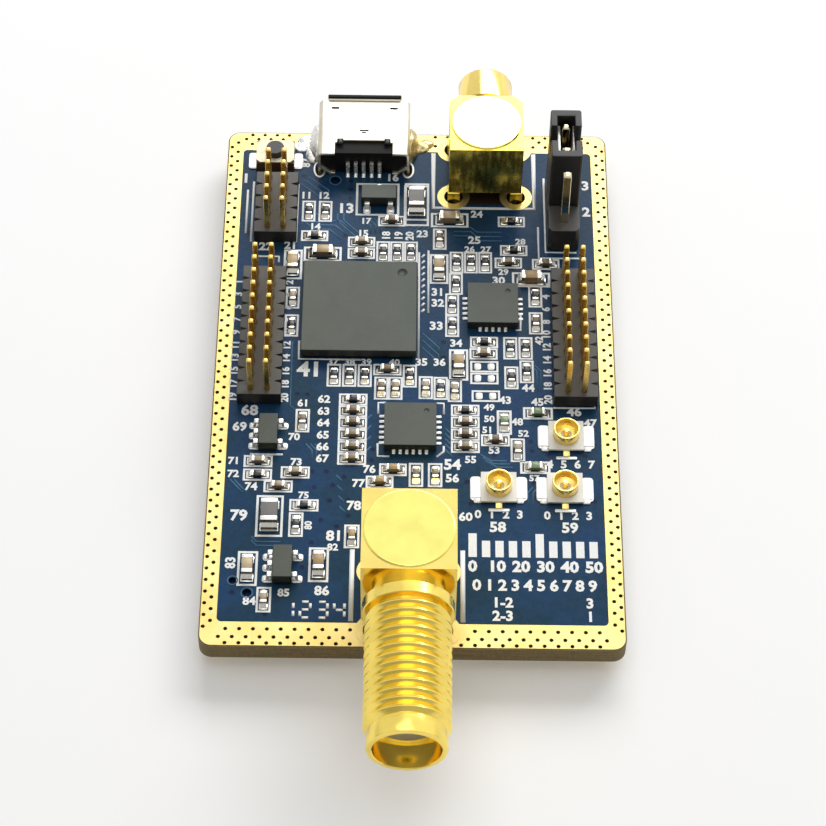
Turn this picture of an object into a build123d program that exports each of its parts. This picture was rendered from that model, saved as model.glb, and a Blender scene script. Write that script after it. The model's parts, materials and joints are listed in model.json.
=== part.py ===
from build123d import *
import os

# A bare, populated receiver circuit board with its connectors.
# All sizes are in millimetres. While the pieces are made, the origin is the centre of the
# board's top face: +X to the right, +Y to the USB side, +Z up from the component side.

# ---- Circuit board ----
board_w = 31.2            # across X
board_l = 49.8            # along Y
board_t = 1.6             # laminate with the foil and mask on both faces
board_corner = 1.0        # radius of the outline's corners
foil_t = 0.05             # gold-plated copper border, and the mask beside it
foil_rim = 0.1            # bare laminate left outside the border
border_side = 1.28        # width of the border along the two long sides
border_back = 1.95
border_front = 2.1
window_corner = 0.35
mask_gap = 0.03           # between the border and the solder mask

# The component places below are drawn for this board size, and stretch with the board.
drawn_w = 31.2
drawn_l = 49.8

# ---- Leads and their solder ----
lead_play = 0.05          # between a lead's corner and its hole
tail = 1.4                # connector legs below the board
short_tail = 0.8          # fine header pins and centre pins below the board
solder_h = 0.7
solder_ring = 0.45        # solder past the lead's corner
solder_tip = 0.08

# ---- Threaded coaxial connector (front edge) ----
sma_x = -0.33
sma_inset = 4.05          # from the front edge of the board to the leg centre
leg_pitch = 5.08          # both coaxial connectors
leg_w = 1.0
pin_w = 0.9               # centre conductor where it enters the board
pin_well_play = 0.6       # around the centre conductor, inside the bodies
sma_block = 6.8           # square bar that the body is cut from
sma_axis_z = 6.2
sma_foot = 6.1            # pedestal below the block
sma_foot_gap = 0.5        # under the pedestal
sma_cap_r = 3.3
cap_t = 0.16
sma_neck_r = 2.6
sma_neck_l = 0.85
sma_ring_r = 3.3
sma_ring_l = 0.95
thread_r = 3.1            # crest of the 1/4-36 thread
thread_root_r = 2.72
thread_pitch = 0.7056
thread_turns = 13
thread_flank = 0.4        # of the pitch, from a root to its crest
thread_crest = 0.15       # of the pitch
thread_relief = 0.25      # of the pitch, before and after the thread
lip_r = 2.85
lip_l = 1.3
lip_bevel = 0.2
sma_bore_r = 2.4
sma_bore_depth = 2.0
sma_insulator_r = 2.05
sma_contact_r = 0.635
sma_socket_r = 0.38

# ---- Push-fit coaxial connector (back edge) ----
mcx_x = 5.55
mcx_inset = 4.25
mcx_block = 5.9
mcx_block_h = 5.2
mcx_axis_z = 3.6
mcx_chamfer = 0.7
mcx_cap_r = 2.85
mcx_neck_r = 1.85
mcx_neck_l = 0.6
mcx_barrel_r = 2.2
mcx_barrel_l = 2.85
mcx_rim = 0.15            # bevel around the barrel's end
mcx_bore_r = 1.75
mcx_bore_depth = 2.6
mcx_insulator_r = 1.5
mcx_contact_r = 0.5

# ---- Micro USB socket ----
usb_x = -4.36
usb_w = 7.5
usb_h = 2.62
usb_wall = 0.25
usb_overhang = 1.3        # mouth past the back edge of the board
usb_body_l = 5.85
usb_bevel = 0.95          # lower corners of the shell
usb_corner = 0.45
usb_notch_w = 4.7         # cut-out at the rear of the top
usb_notch_l = 1.25
usb_notch_inner_w = 3.7   # a narrower step reaches further
usb_notch_step = 0.25
usb_lip_w = 6.1
usb_lip_l = 0.35
usb_lip_rise = 0.3
usb_tab_w = 0.9
usb_tab_gap = 0.1
usb_tab_root = 0.3        # of a tab's top inside the shell's flank
usb_tongue_w = 3.7
usb_tongue_t = 0.6
usb_tongue_z = 1.25
usb_tongue_start = 0.7    # from the mouth
usb_contact_count = 5
usb_contact_pitch = 0.65
usb_contact_w = 0.3
usb_contact_t = 0.12
usb_contact_start = 1.0   # from the mouth
usb_contact_foot = 0.35   # of a contact's foot behind the shell
usb_core_gap = 0.15       # between the insulator and the contacts behind it
usb_plug_depth = 3.6      # from the mouth to the insulator
usb_solder_r = 1.35       # at the foot of the solder beside the shell
usb_solder_top_r = 0.3
usb_solder_h = 1.5
usb_solder_inset = 1.0    # from the back edge of the board

# ---- Pin headers ----
fine_pitch = 1.27
fine_pin_w = 0.4
fine_pin_top = 4.85
fine_body_w = 3.4
fine_body_h = 1.3
fine_notch = 0.34         # width of the notches between the positions
fine_notch_depth = 0.5
left_header = (-12.0, 3.25)
right_header = (12.42, 3.35)
debug_header = (-11.35, 16.3)
left_rows = 10
right_rows = 10
debug_rows = 5
boot_pitch = 2.54
boot_pin_w = 0.64
boot_pin_top = 8.0
boot_body_w = 2.5
boot_body_h = 2.5
boot_chamfer = 0.3
boot_header = (11.8, 16.34)
boot_rows = 3

# ---- Shunt on the boot header ----
shunt_w = 2.45
shunt_l = 4.95
shunt_h = 6.0
shunt_slot_w = 1.4
shunt_end_wall = 0.66
shunt_notch_l = 1.5
shunt_notch_h = 1.8
shunt_bevel = 0.12
clip_t = 0.2
clip_h = 3.6
clip_stand = 0.4          # above the header body
clip_gap = 0.05           # between the clip's bumps and the pin

# ---- Push switch ----
switch_x = -11.62
switch_y = 21.7
switch_w = 3.1
switch_l = 2.4
switch_base_h = 1.2
switch_cover_t = 0.12
switch_corner = 0.3       # bevel of the cover's corners
switch_well_r = 1.05
switch_floor = 0.4
button_r = 0.72
button_gap = 0.08
button_rise = 0.5         # above the cover
button_travel = 0.25
button_collar = 0.2
dome_r = 0.9
dome_crown_r = 0.4
dome_h = 0.25
dome_t = 0.05
terminal_l = 0.55
terminal_w = 1.4
terminal_t = 0.15

# ---- Micro coaxial sockets ----
coax_spots = [(11.6, -5.95), (6.4, -10.8), (11.4, -10.8)]
coax_base_w = 2.7
coax_base_h = 0.35
coax_ring_r = 1.0
coax_ring_wall = 0.13
coax_ring_top = 1.25
coax_floor_t = 0.1        # of the ring
coax_floor_hole = 0.4     # radius around the centre pin
coax_pin_r = 0.2
coax_pin_top = 1.0
coax_tab_start = 0.62     # from the centre to the near end of a ground tab
coax_tab_reach = 2.1      # from the centre to its far end
coax_tab_w = 1.8
coax_tab_t = 0.15
coax_strip_w = 0.5
coax_strip_reach = 1.8    # from the centre to the end of the signal strip

# ---- Integrated circuits ----
processor_spot = (-4.42, 5.87)
processor_w = 9.0
processor_h = 0.8
ball_r = 0.2
ball_h = 0.3
ball_pitch = 0.8
ball_rows = 10
flat_chip_w = 4.0
flat_chip_h = 0.85
flat_pitch = 0.5
flat_lead_w = 0.24
flat_lead_l = 0.4
flat_lead_t = 0.2
exposed_pad_w = 2.5
tuner_spot = (-0.32, -5.4)
clock_spot = (6.1, 6.5)
sot_l = 2.9
sot_w = 1.5
sot_h = 1.1
sot_draft = 0.05          # at the top and bottom of each side
sot_stand = 0.1
sot_pitch = 0.95
sot_lead_w = 0.4
sot_lead_t = 0.15
sot_reach = 0.65          # of a lead past the body
sot_knee = 0.2            # from the body to the bend
sot_slope = 0.1           # of the lead's leg outward

# ---- Chip components: length, width, height, length of one end cap ----
small_capacitor = (1.0, 0.5, 0.5, 0.25)
small_resistor = (1.0, 0.5, 0.35, 0.22)
large_capacitor = (1.6, 0.8, 0.8, 0.35)
ferrite = (2.0, 1.25, 1.0, 0.4)
diode = (1.0, 0.6, 0.45, 0.2)
inductor = (1.0, 0.5, 0.5, 0.2)
end_swell = 0.02          # an end cap past the body's faces


def spot(x, y):
    """A place drawn for the nominal board, on the board as it is."""
    return x * board_w / drawn_w, y * board_l / drawn_l


def spots(places):
    return [spot(x, y) for x, y in places]


def group(shapes):
    """Separate solids in one node."""
    return Compound([solid for shape in shapes for solid in shape.solids()])


def copies(shape, places):
    return [Pos(x, y, 0) * shape for x, y in places]


def bar(width, length, height, z=0.0):
    """A block centred on the Z axis, standing on height z."""
    return Pos(0, 0, z) * Box(width, length, height, align=(Align.CENTER, Align.CENTER, Align.MIN))


def rod(radius, height, z=0.0):
    return Pos(0, 0, z) * Cylinder(radius, height, align=(Align.CENTER, Align.CENTER, Align.MIN))


def turned(profile):
    """A solid of revolution about Z from (radius, height) points."""
    return revolve(Plane.XZ * make_face(Polyline(profile, close=True)), axis=Axis.Z)


def square_wire(x, y, width):
    return (Pos(x, y, 0) * Rectangle(width, width)).wire()


# ---------------------------------------------------------------- places

def sma_centre():
    return sma_x, sma_inset - board_l / 2


def mcx_centre():
    return mcx_x, board_l / 2 - mcx_inset


def leg_spots(centre):
    half = leg_pitch / 2
    return [(centre[0] + i * half, centre[1] + j * half) for i in (-1, 1) for j in (-1, 1)]


def header_pins(header, rows, columns, pitch):
    """The pin places of a header, from its centre and its numbers of rows and columns."""
    x, y = spot(*header)
    along = [(k - (rows - 1) / 2) * pitch for k in range(rows)]
    across = [(c - (columns - 1) / 2) * pitch for c in range(columns)]
    return [(x + i, y + j) for i in across for j in along]


def fine_header_pin_spots(header, rows):
    return header_pins(header, rows, 2, fine_pitch)


def fine_pins():
    return (fine_header_pin_spots(left_header, left_rows)
            + fine_header_pin_spots(right_header, right_rows)
            + fine_header_pin_spots(debug_header, debug_rows))


def boot_pins():
    return header_pins(boot_header, boot_rows, 1, boot_pitch)


def usb_tab_spots():
    y = board_l / 2 + usb_overhang - usb_body_l + usb_tab_w / 2 + usb_tab_gap
    reach = usb_w / 2 - usb_wall / 2
    return [(usb_x - reach, y), (usb_x + reach, y)]


def hole_radius(lead_width):
    return lead_width / 2 ** 0.5 + lead_play


# ---------------------------------------------------------------- board

def window_size():
    width = board_w - 2 * border_side
    length = board_l - border_front - border_back
    centre_y = (border_front - border_back) / 2
    return width, length, centre_y


def sheet(outline, openings, thickness, z):
    """A flat sheet with its openings, standing on height z."""
    return Pos(0, 0, z) * extrude(Face(outline, openings), amount=thickness, dir=(0, 0, 1))


def lead_plugs(lead_width, places):
    """Round plugs through the whole board, each a little wider than its square lead."""
    depth = 2 * board_t
    return copies(rod(hole_radius(lead_width), depth, -depth * 3 / 4), places)


def slot_plugs():
    """Plugs for the oval slots of the USB tabs."""
    depth = 2 * board_t
    length = usb_tab_w + 4 * usb_tab_gap
    width = usb_wall + 4 * usb_tab_gap
    slot = extrude(SlotOverall(length, width, rotation=90), amount=depth)
    return [Pos(x, y, -depth * 3 / 4) * slot for x, y in usb_tab_spots()]


def drilled(plate):
    """Cut the holes of every lead that goes through the board."""
    plugs = lead_plugs(fine_pin_w, fine_pins()) + lead_plugs(boot_pin_w, boot_pins()) + slot_plugs()
    for centre in (sma_centre(), mcx_centre()):
        plugs += lead_plugs(leg_w, leg_spots(centre)) + lead_plugs(pin_w, [centre])
    return plate.cut(*[solid for plug in plugs for solid in plug.solids()])


def board_laminate():
    outline = RectangleRounded(board_w, board_l, board_corner).wire()
    return drilled(sheet(outline, [], board_t - 2 * foil_t, foil_t - board_t))


def border_foil(z):
    width, length, centre_y = window_size()
    outline = RectangleRounded(board_w - 2 * foil_rim, board_l - 2 * foil_rim,
                               board_corner - foil_rim).wire()
    window = (Pos(0, centre_y, 0) * RectangleRounded(width, length, window_corner)).wire()
    return drilled(sheet(outline, [window], foil_t, z))


def solder_mask(z):
    width, length, centre_y = window_size()
    field = RectangleRounded(width - 2 * mask_gap, length - 2 * mask_gap, window_corner)
    outline = (Pos(0, centre_y, 0) * field).wire()
    return drilled(sheet(outline, [], foil_t, z))


def solder_cone(lead_width):
    """A fillet of solder under the board, around a square lead."""
    base = lead_width / 2 ** 0.5 + solder_ring
    tip = lead_width / 2 ** 0.5 + solder_tip
    cone = Cone(tip, base, solder_h, align=(Align.CENTER, Align.CENTER, Align.MAX))
    return Pos(0, 0, -board_t) * cone - bar(lead_width, lead_width, 2 * board_t, -3 * board_t)


def solder_joints():
    places = {fine_pin_w: fine_pins(), boot_pin_w: boot_pins(), pin_w: [sma_centre(), mcx_centre()],
              leg_w: leg_spots(sma_centre()) + leg_spots(mcx_centre())}
    cones = []
    for width, leads in places.items():
        cones += copies(solder_cone(width), leads)
    return group(cones)


# ---------------------------------------------------------------- coaxial connectors

def sma_bottom():
    return sma_axis_z - sma_block / 2


def coax_legs(centre, top):
    """The four corner legs of a coaxial connector, from its underside through the board."""
    bottom = -board_t - tail
    return copies(bar(leg_w, leg_w, top - bottom, bottom), leg_spots(centre))


def pin_well(centre, top):
    """The square space around a centre conductor, from the board up to the axis."""
    width = pin_w + 2 * pin_well_play
    return Pos(*centre, 0) * bar(width, width, top)


def on_axis(shape, centre, axis_z, face, direction):
    """Lay a shape made along +Z on a connector's axis, starting at the body's face."""
    return Pos(centre[0], centre[1] + direction * face, axis_z) * Rot(-90 * direction, 0, 0) * shape


def sma_body():
    x, y = sma_centre()
    block = bar(sma_block, sma_block, sma_block, sma_bottom())
    foot = bar(sma_foot, sma_foot, sma_bottom() - sma_foot_gap, sma_foot_gap)
    shape = Pos(x, y, 0) * (block + foot)
    shape += coax_legs((x, y), sma_foot_gap)
    return shape - pin_well((x, y), sma_axis_z) - sma_channel()


def sma_cap():
    x, y = sma_centre()
    return Pos(x, y, 0) * chamfered_disc(sma_cap_r, cap_t, sma_axis_z + sma_block / 2)


def chamfered_disc(radius, thickness, z):
    disc = rod(radius, thickness, z)
    return chamfer(disc.edges().group_by(Axis.Z)[-1], thickness / 2)


def thread_profile(start):
    """Crests and roots of the thread, from its first turn outward."""
    points = []
    rise = thread_flank * thread_pitch
    crest = thread_crest * thread_pitch
    for turn in range(thread_turns):
        z = start + turn * thread_pitch
        points += [(thread_root_r, z), (thread_r, z + rise), (thread_r, z + rise + crest),
                   (thread_root_r, z + 2 * rise + crest)]
    return points


def thread_l():
    return (thread_turns + 2 * thread_relief) * thread_pitch


def sma_barrel_l():
    return sma_neck_l + sma_ring_l + thread_l() + lip_l


def sma_barrel():
    """Neck, ring, threaded stretch and plain lip, with the bore open at the end."""
    ring_end = sma_neck_l + sma_ring_l
    thread_start = ring_end + thread_relief * thread_pitch
    lip_start = ring_end + thread_l()
    length = sma_barrel_l()
    profile = [(sma_insulator_r, 0), (sma_neck_r, 0), (sma_neck_r, sma_neck_l),
               (sma_ring_r, sma_neck_l), (sma_ring_r, ring_end), (thread_root_r, ring_end)]
    profile += thread_profile(thread_start)
    profile += [(thread_root_r, lip_start), (lip_r, lip_start), (lip_r, length - lip_bevel),
                (lip_r - lip_bevel, length), (sma_bore_r, length),
                (sma_bore_r, length - sma_bore_depth), (sma_insulator_r, length - sma_bore_depth)]
    return on_axis(turned(profile), sma_centre(), sma_axis_z, sma_block / 2, -1)


def sma_insulator():
    """The plastic core of the barrel, around the centre contact."""
    length = sma_barrel_l() - sma_bore_depth
    core = rod(sma_insulator_r, length) - rod(sma_contact_r, length)
    return on_axis(core, sma_centre(), sma_axis_z, sma_block / 2, -1)


def sma_contact():
    """The centre contact: along the barrel, then down through the board."""
    x, y = sma_centre()
    inside = pin_w / 2
    length = sma_barrel_l() - sma_bore_depth + sma_block / 2 + inside
    along = on_axis(rod(sma_contact_r, length), sma_centre(), sma_axis_z, -inside, -1)
    socket = on_axis(rod(sma_socket_r, sma_bore_depth, length - sma_bore_depth),
                     sma_centre(), sma_axis_z, -inside, -1)
    bottom = -board_t - short_tail
    down = Pos(x, y, 0) * bar(pin_w, pin_w, sma_axis_z - bottom, bottom)
    return along + down - socket


def sma_channel():
    """The passage through the body that the centre contact runs in."""
    return on_axis(rod(sma_insulator_r, sma_block), sma_centre(), sma_axis_z, -pin_w, -1)


def mcx_bottom():
    return mcx_axis_z - mcx_block_h / 2


def mcx_body():
    x, y = mcx_centre()
    block = bar(mcx_block, mcx_block, mcx_block_h, mcx_bottom())
    back_edges = block.edges().filter_by(Axis.Z).group_by(Axis.Y)[-1]
    shape = Pos(x, y, 0) * chamfer(back_edges, mcx_chamfer)
    shape += coax_legs((x, y), mcx_bottom())
    channel = on_axis(rod(mcx_insulator_r, mcx_block), (x, y), mcx_axis_z, -pin_w, 1)
    return shape - pin_well((x, y), mcx_axis_z) - channel


def mcx_cap():
    x, y = mcx_centre()
    return Pos(x, y, 0) * chamfered_disc(mcx_cap_r, cap_t, mcx_axis_z + mcx_block_h / 2)


def mcx_barrel_end():
    return mcx_neck_l + mcx_barrel_l


def mcx_barrel():
    length = mcx_barrel_end()
    profile = [(mcx_insulator_r, 0), (mcx_neck_r, 0), (mcx_neck_r, mcx_neck_l),
               (mcx_barrel_r, mcx_neck_l), (mcx_barrel_r, length - mcx_rim),
               (mcx_barrel_r - mcx_rim, length), (mcx_bore_r, length),
               (mcx_bore_r, length - mcx_bore_depth), (mcx_insulator_r, length - mcx_bore_depth)]
    return on_axis(turned(profile), mcx_centre(), mcx_axis_z, mcx_block / 2, 1)


def mcx_insulator():
    length = mcx_barrel_end() - mcx_bore_depth
    core = rod(mcx_insulator_r, length) - rod(mcx_contact_r, length)
    return on_axis(core, mcx_centre(), mcx_axis_z, mcx_block / 2, 1)


def mcx_contact():
    x, y = mcx_centre()
    inside = pin_w / 2
    length = mcx_barrel_end() - mcx_bore_depth + mcx_block / 2 + inside
    along = on_axis(rod(mcx_contact_r, length), mcx_centre(), mcx_axis_z, -inside, 1)
    bottom = -board_t - short_tail
    down = Pos(x, y, 0) * bar(pin_w, pin_w, mcx_axis_z - bottom, bottom)
    return along + down


# ---------------------------------------------------------------- micro USB socket

def usb_mouth_y():
    return board_l / 2 + usb_overhang


def usb_section(inset):
    """The shell's cross-section, drawn in by an inset: wide at the top, bevelled below."""
    half = usb_w / 2 - inset
    low = inset
    high = usb_h - inset
    bevel = usb_bevel - inset / 2
    points = [(-half + bevel, low), (half - bevel, low), (half, low + bevel), (half, high),
              (-half, high), (-half, low + bevel)]
    face = make_face(Polyline(points, close=True))
    top_corners = face.vertices().group_by(Axis.Y)[-1]
    return fillet(top_corners, usb_corner - inset)


def along_usb(section, start, length):
    """Extrude a section backward from the mouth, beginning at a distance start."""
    return Pos(usb_x, usb_mouth_y() - start, 0) * extrude(Plane.XZ * section, amount=length,
                                                          dir=(0, -1, 0))


def usb_shell():
    """Folded steel shell with its rear cut-out, flared lip and two tabs in the board."""
    shell = along_usb(usb_section(0), 0, usb_body_l) - along_usb(usb_section(usb_wall), 0, usb_body_l)
    rear = usb_mouth_y() - usb_body_l
    cut = Pos(usb_x, rear, 0) * Box(usb_notch_w, 2 * usb_notch_l, 3 * usb_h)
    step_l = usb_notch_l + usb_notch_step
    step = Pos(usb_x, rear, 0) * Box(usb_notch_inner_w, 2 * step_l, 3 * usb_h)
    lip_points = [(0, 0), (usb_lip_l, usb_lip_rise), (usb_lip_l, usb_lip_rise - usb_wall),
                  (0, -usb_wall)]
    lip = extrude(Plane.YZ * make_face(Polyline(lip_points, close=True)), amount=usb_lip_w)
    lip = Pos(usb_x - usb_lip_w / 2, usb_mouth_y(), usb_h) * lip
    shell = shell - cut - step + lip
    tab_bottom = -board_t - short_tail
    tab = bar(usb_wall, usb_tab_w, usb_bevel + usb_tab_root - tab_bottom, tab_bottom)
    for x, y in usb_tab_spots():
        shell += Pos(x, y, 0) * tab
    return shell


def usb_solder():
    """A cone of solder on each side, between the shell's flank and the border."""
    cone = Cone(usb_solder_r, usb_solder_top_r, usb_solder_h,
                align=(Align.CENTER, Align.CENTER, Align.MIN))
    y = board_l / 2 - usb_solder_inset
    cones = copies(cone, [(usb_x + side * usb_w / 2, y) for side in (-1, 1)])
    envelope = Pos(usb_x, y, 0) * bar(usb_w, 2 * usb_body_l, usb_h)
    return group([cone - envelope for cone in cones])


def usb_insulator():
    """The black core behind the plug space, with the tongue that carries the contacts."""
    depth = usb_body_l - usb_plug_depth - usb_contact_t - usb_core_gap
    core = along_usb(usb_section(usb_wall), usb_plug_depth, depth)
    tongue_l = usb_plug_depth - usb_tongue_start
    tongue = bar(usb_tongue_w, tongue_l, usb_tongue_t, usb_tongue_z + usb_contact_t)
    core += Pos(usb_x, usb_mouth_y() - usb_tongue_start - tongue_l / 2, 0) * tongue
    return core.cut(*usb_contacts().solids())


def usb_contacts():
    """Strips under the tongue, bent down behind the core to their feet."""
    front = usb_mouth_y() - usb_contact_start
    rear = usb_mouth_y() - usb_body_l
    bend = rear + usb_contact_t
    foot = rear - usb_contact_foot
    t = usb_contact_t
    z = usb_tongue_z
    side_view = [(front, z), (front, z + t), (bend - t, z + t), (bend - t, t), (foot, t),
                 (foot, 0), (bend, 0), (bend, z)]
    strip = extrude(Plane.YZ * make_face(Polyline(side_view, close=True)), amount=usb_contact_w)
    first = usb_x - (usb_contact_count - 1) / 2 * usb_contact_pitch - usb_contact_w / 2
    return group([Pos(first + k * usb_contact_pitch, 0, 0) * strip for k in range(usb_contact_count)])


# ---------------------------------------------------------------- headers and shunt

def fine_header_body(header, rows):
    """A moulded strip with a notch on both sides between its positions."""
    half_w = fine_body_w / 2
    half_l = rows * fine_pitch / 2
    right_side = [(half_w, -half_l)]
    for k in range(1, rows):
        y = k * fine_pitch - half_l
        right_side += [(half_w, y - fine_notch / 2), (half_w - fine_notch_depth, y),
                       (half_w, y + fine_notch / 2)]
    right_side.append((half_w, half_l))
    left_side = [(-x, -y) for x, y in right_side]
    x, y = spot(*header)
    outline = (Pos(x, y, 0) * Polyline(right_side + left_side, close=True)).wire()
    openings = [square_wire(i, j, fine_pin_w) for i, j in fine_header_pin_spots(header, rows)]
    return sheet(outline, openings, fine_body_h, 0)


def header_pin(width, top, below):
    """A square pin with a pointed top."""
    bottom = -board_t - below
    pin = bar(width, width, top - bottom, bottom)
    return chamfer(pin.edges().group_by(Axis.Z)[-1], width / 4)


def fine_header_pins(header, rows):
    pin = header_pin(fine_pin_w, fine_pin_top, short_tail)
    return group(copies(pin, fine_header_pin_spots(header, rows)))


def boot_header_body():
    x, y = spot(*boot_header)
    shape = chamfer(Rectangle(boot_body_w, boot_rows * boot_pitch).vertices(), boot_chamfer)
    outline = (Pos(x, y, 0) * shape).wire()
    openings = [square_wire(i, j, boot_pin_w) for i, j in boot_pins()]
    return sheet(outline, openings, boot_body_h, 0)


def boot_header_pins():
    return group(copies(header_pin(boot_pin_w, boot_pin_top, tail), boot_pins()))


def shunt_centre():
    """The shunt sits on the two pins at the back of the boot header."""
    x, y = spot(*boot_header)
    return x, y + boot_pitch / 2


def shunt_housing():
    x, y = shunt_centre()
    body = bar(shunt_w, shunt_l, shunt_h, boot_body_h)
    body = chamfer(body.edges().filter_by(Axis.Z), shunt_bevel)
    slot = bar(shunt_slot_w, shunt_l - 2 * shunt_end_wall, 2 * shunt_h, 0)
    notch = bar(2 * shunt_w, shunt_notch_l, shunt_h, boot_body_h + shunt_h - shunt_notch_h)
    return Pos(x, y, 0) * (body - slot - notch)


def shunt_clip():
    """Two sprung strips that press on the pins, joined by a bridge between them."""
    x, y = shunt_centre()
    length = shunt_l - 2 * shunt_end_wall
    low = boot_body_h + clip_stand
    strip_x = shunt_slot_w / 2 - clip_t / 2
    bump_l = strip_x - clip_t / 2 - boot_pin_w / 2 - clip_gap
    bump_x = boot_pin_w / 2 + clip_gap + bump_l / 2
    clip = bar(shunt_slot_w, clip_t * 2, clip_t * 3, low)
    for side in (-1, 1):
        clip += Pos(side * strip_x, 0, 0) * bar(clip_t, length, clip_h + clip_t * (1 - side), low)
        for end in (-1, 1):
            bump = bar(bump_l, boot_pin_w, clip_t * 2, low + clip_h / 2)
            clip += Pos(side * bump_x, end * boot_pitch / 2, 0) * bump
    return Pos(x, y, 0) * clip


# ---------------------------------------------------------------- push switch

def switch_place():
    x, y = spot(switch_x, switch_y)
    return Pos(x, y, 0)


def switch_base():
    base = bar(switch_w, switch_l, switch_base_h) - rod(switch_well_r, switch_base_h, switch_floor)
    return switch_place() * base


def switch_cover():
    cover = bar(switch_w, switch_l, switch_cover_t, switch_base_h)
    cover -= rod(button_r + button_gap, 3 * switch_cover_t, switch_base_h - switch_cover_t)
    return switch_place() * chamfer(cover.edges().filter_by(Axis.Z), switch_corner)


def switch_button():
    """The round plunger, with a collar that the cover holds in."""
    top = switch_base_h + switch_cover_t + button_rise
    foot = switch_base_h - button_collar
    button = rod(button_r, top - foot, foot) + rod(button_r + button_gap * 2, button_collar, foot)
    return switch_place() * button


def switch_dome():
    """The snap dome that pushes the plunger back."""
    profile = [(0, dome_h), (dome_crown_r, dome_h), (dome_r, 0), (dome_r, dome_t),
               (dome_crown_r, dome_h + dome_t), (0, dome_h + dome_t)]
    return switch_place() * Pos(0, 0, switch_floor) * turned(profile)


def switch_terminals():
    reach = switch_w / 2 + terminal_l / 2
    foot = bar(terminal_l, terminal_w, terminal_t)
    return group([switch_place() * Pos(side * reach, 0, 0) * foot for side in (-1, 1)])


# ---------------------------------------------------------------- micro coaxial sockets

def coax_bases():
    base = bar(coax_base_w, coax_base_w, coax_base_h - coax_tab_t, coax_tab_t)
    base -= rod(coax_pin_r, coax_base_h)
    return group(copies(base, spots(coax_spots)))


def coax_shells():
    """The snap ring of each socket, with its two ground tabs on the board."""
    ring = rod(coax_ring_r, coax_ring_top - coax_base_h, coax_base_h)
    ring -= rod(coax_ring_r - coax_ring_wall, coax_ring_top, coax_base_h + coax_floor_t)
    ring -= rod(coax_floor_hole, coax_ring_top)
    tab = bar(coax_tab_reach - coax_tab_start, coax_tab_w, coax_tab_t)
    offset = (coax_tab_start + coax_tab_reach) / 2
    shapes = [ring, Pos(-offset, 0, 0) * tab, Pos(offset, 0, 0) * tab]
    return group([Pos(x, y, 0) * shape for shape in shapes for x, y in spots(coax_spots)])


def coax_pins():
    """Centre pin of each socket, standing on its signal strip."""
    strip = Pos(0, -coax_strip_reach / 2, 0) * bar(coax_strip_w, coax_strip_reach, coax_tab_t)
    return group(copies(strip + rod(coax_pin_r, coax_pin_top), spots(coax_spots)))


# ---------------------------------------------------------------- integrated circuits

def processor_package():
    x, y = spot(*processor_spot)
    return Pos(x, y, 0) * bar(processor_w, processor_w, processor_h, ball_h)


def processor_balls():
    x, y = spot(*processor_spot)
    offsets = [(k - (ball_rows - 1) / 2) * ball_pitch for k in range(ball_rows)]
    return group([Pos(x + i, y + j, 0) * rod(ball_r, ball_h) for i in offsets for j in offsets])


def flat_chip_leads(place, per_side):
    """Lead ends around a leadless package, and the pad under its middle."""
    lead = Pos(flat_chip_w / 2 - flat_lead_l / 2, 0, 0) * bar(flat_lead_l, flat_lead_w, flat_lead_t)
    shapes = [bar(exposed_pad_w, exposed_pad_w, flat_lead_t)]
    for turn in range(4):
        for k in range(per_side):
            offset = (k - (per_side - 1) / 2) * flat_pitch
            shapes.append(Rot(0, 0, 90 * turn) * Pos(0, offset, 0) * lead)
    x, y = spot(*place)
    return group([Pos(x, y, 0) * shape for shape in shapes])


def flat_chip_package(place, per_side):
    x, y = spot(*place)
    package = Pos(x, y, 0) * bar(flat_chip_w, flat_chip_w, flat_chip_h)
    return package.cut(*flat_chip_leads(place, per_side).solids())


# Small outline packages: x, y, turn in degrees, leads on the first and second long side.
small_packages = [(-3.07, 17.7, 0, 2, 1), (-11.15, -6.15, -90, 3, 2), (-9.65, -18.15, -90, 3, 2)]


def sot_body():
    """A moulded body with drafted sides."""
    half = (sot_h - sot_stand) / 2
    middle = sot_stand + half
    narrow = Rectangle(sot_l - 2 * sot_draft, sot_w - 2 * sot_draft)
    lower = Plane.XY.offset(sot_stand) * narrow
    waist = Plane.XY.offset(middle) * Rectangle(sot_l, sot_w)
    upper = Plane.XY.offset(sot_h) * narrow
    return loft([lower, waist, upper], ruled=True)


def gull_lead():
    """A lead that leaves the body at mid-height and bends down to the board."""
    t = sot_lead_t
    middle = (sot_h + sot_stand) / 2
    root = -sot_w / 2
    knee = root - sot_knee
    toe = root - sot_reach
    side_view = [(root, middle), (root, middle + t), (knee - t, middle + t),
                 (knee - t - sot_slope, t), (toe, t), (toe, 0), (knee - sot_slope, 0), (knee, middle)]
    lead = extrude(Plane.YZ * make_face(Polyline(side_view, close=True)), amount=sot_lead_w)
    return Pos(-sot_lead_w / 2, 0, 0) * lead


def lead_offsets(count):
    """Places along a side: three leads at the pitch, two at the ends, one in the middle."""
    return {1: [0], 2: [-sot_pitch, sot_pitch], 3: [-sot_pitch, 0, sot_pitch]}[count]


def sot_places():
    return [(Pos(*spot(x, y), 0) * Rot(0, 0, turn), first, second)
            for x, y, turn, first, second in small_packages]


def small_package_bodies():
    return group([place * sot_body() for place, first, second in sot_places()])


def small_package_leads():
    lead = gull_lead()
    shapes = []
    for place, first, second in sot_places():
        shapes += [place * Pos(offset, 0, 0) * lead for offset in lead_offsets(first)]
        shapes += [place * Rot(0, 0, 180) * Pos(offset, 0, 0) * lead for offset in lead_offsets(second)]
    return group(shapes)


# ---------------------------------------------------------------- chip components
# Places of the chip components, as (x, y); "upright" ones lie along Y, "level" ones along X.

def column(x, y_start, pitch, count):
    return [(x, y_start + k * pitch) for k in range(count)]


def row(x_start, y, pitch, count):
    return [(x_start + k * pitch, y) for k in range(count)]


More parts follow.
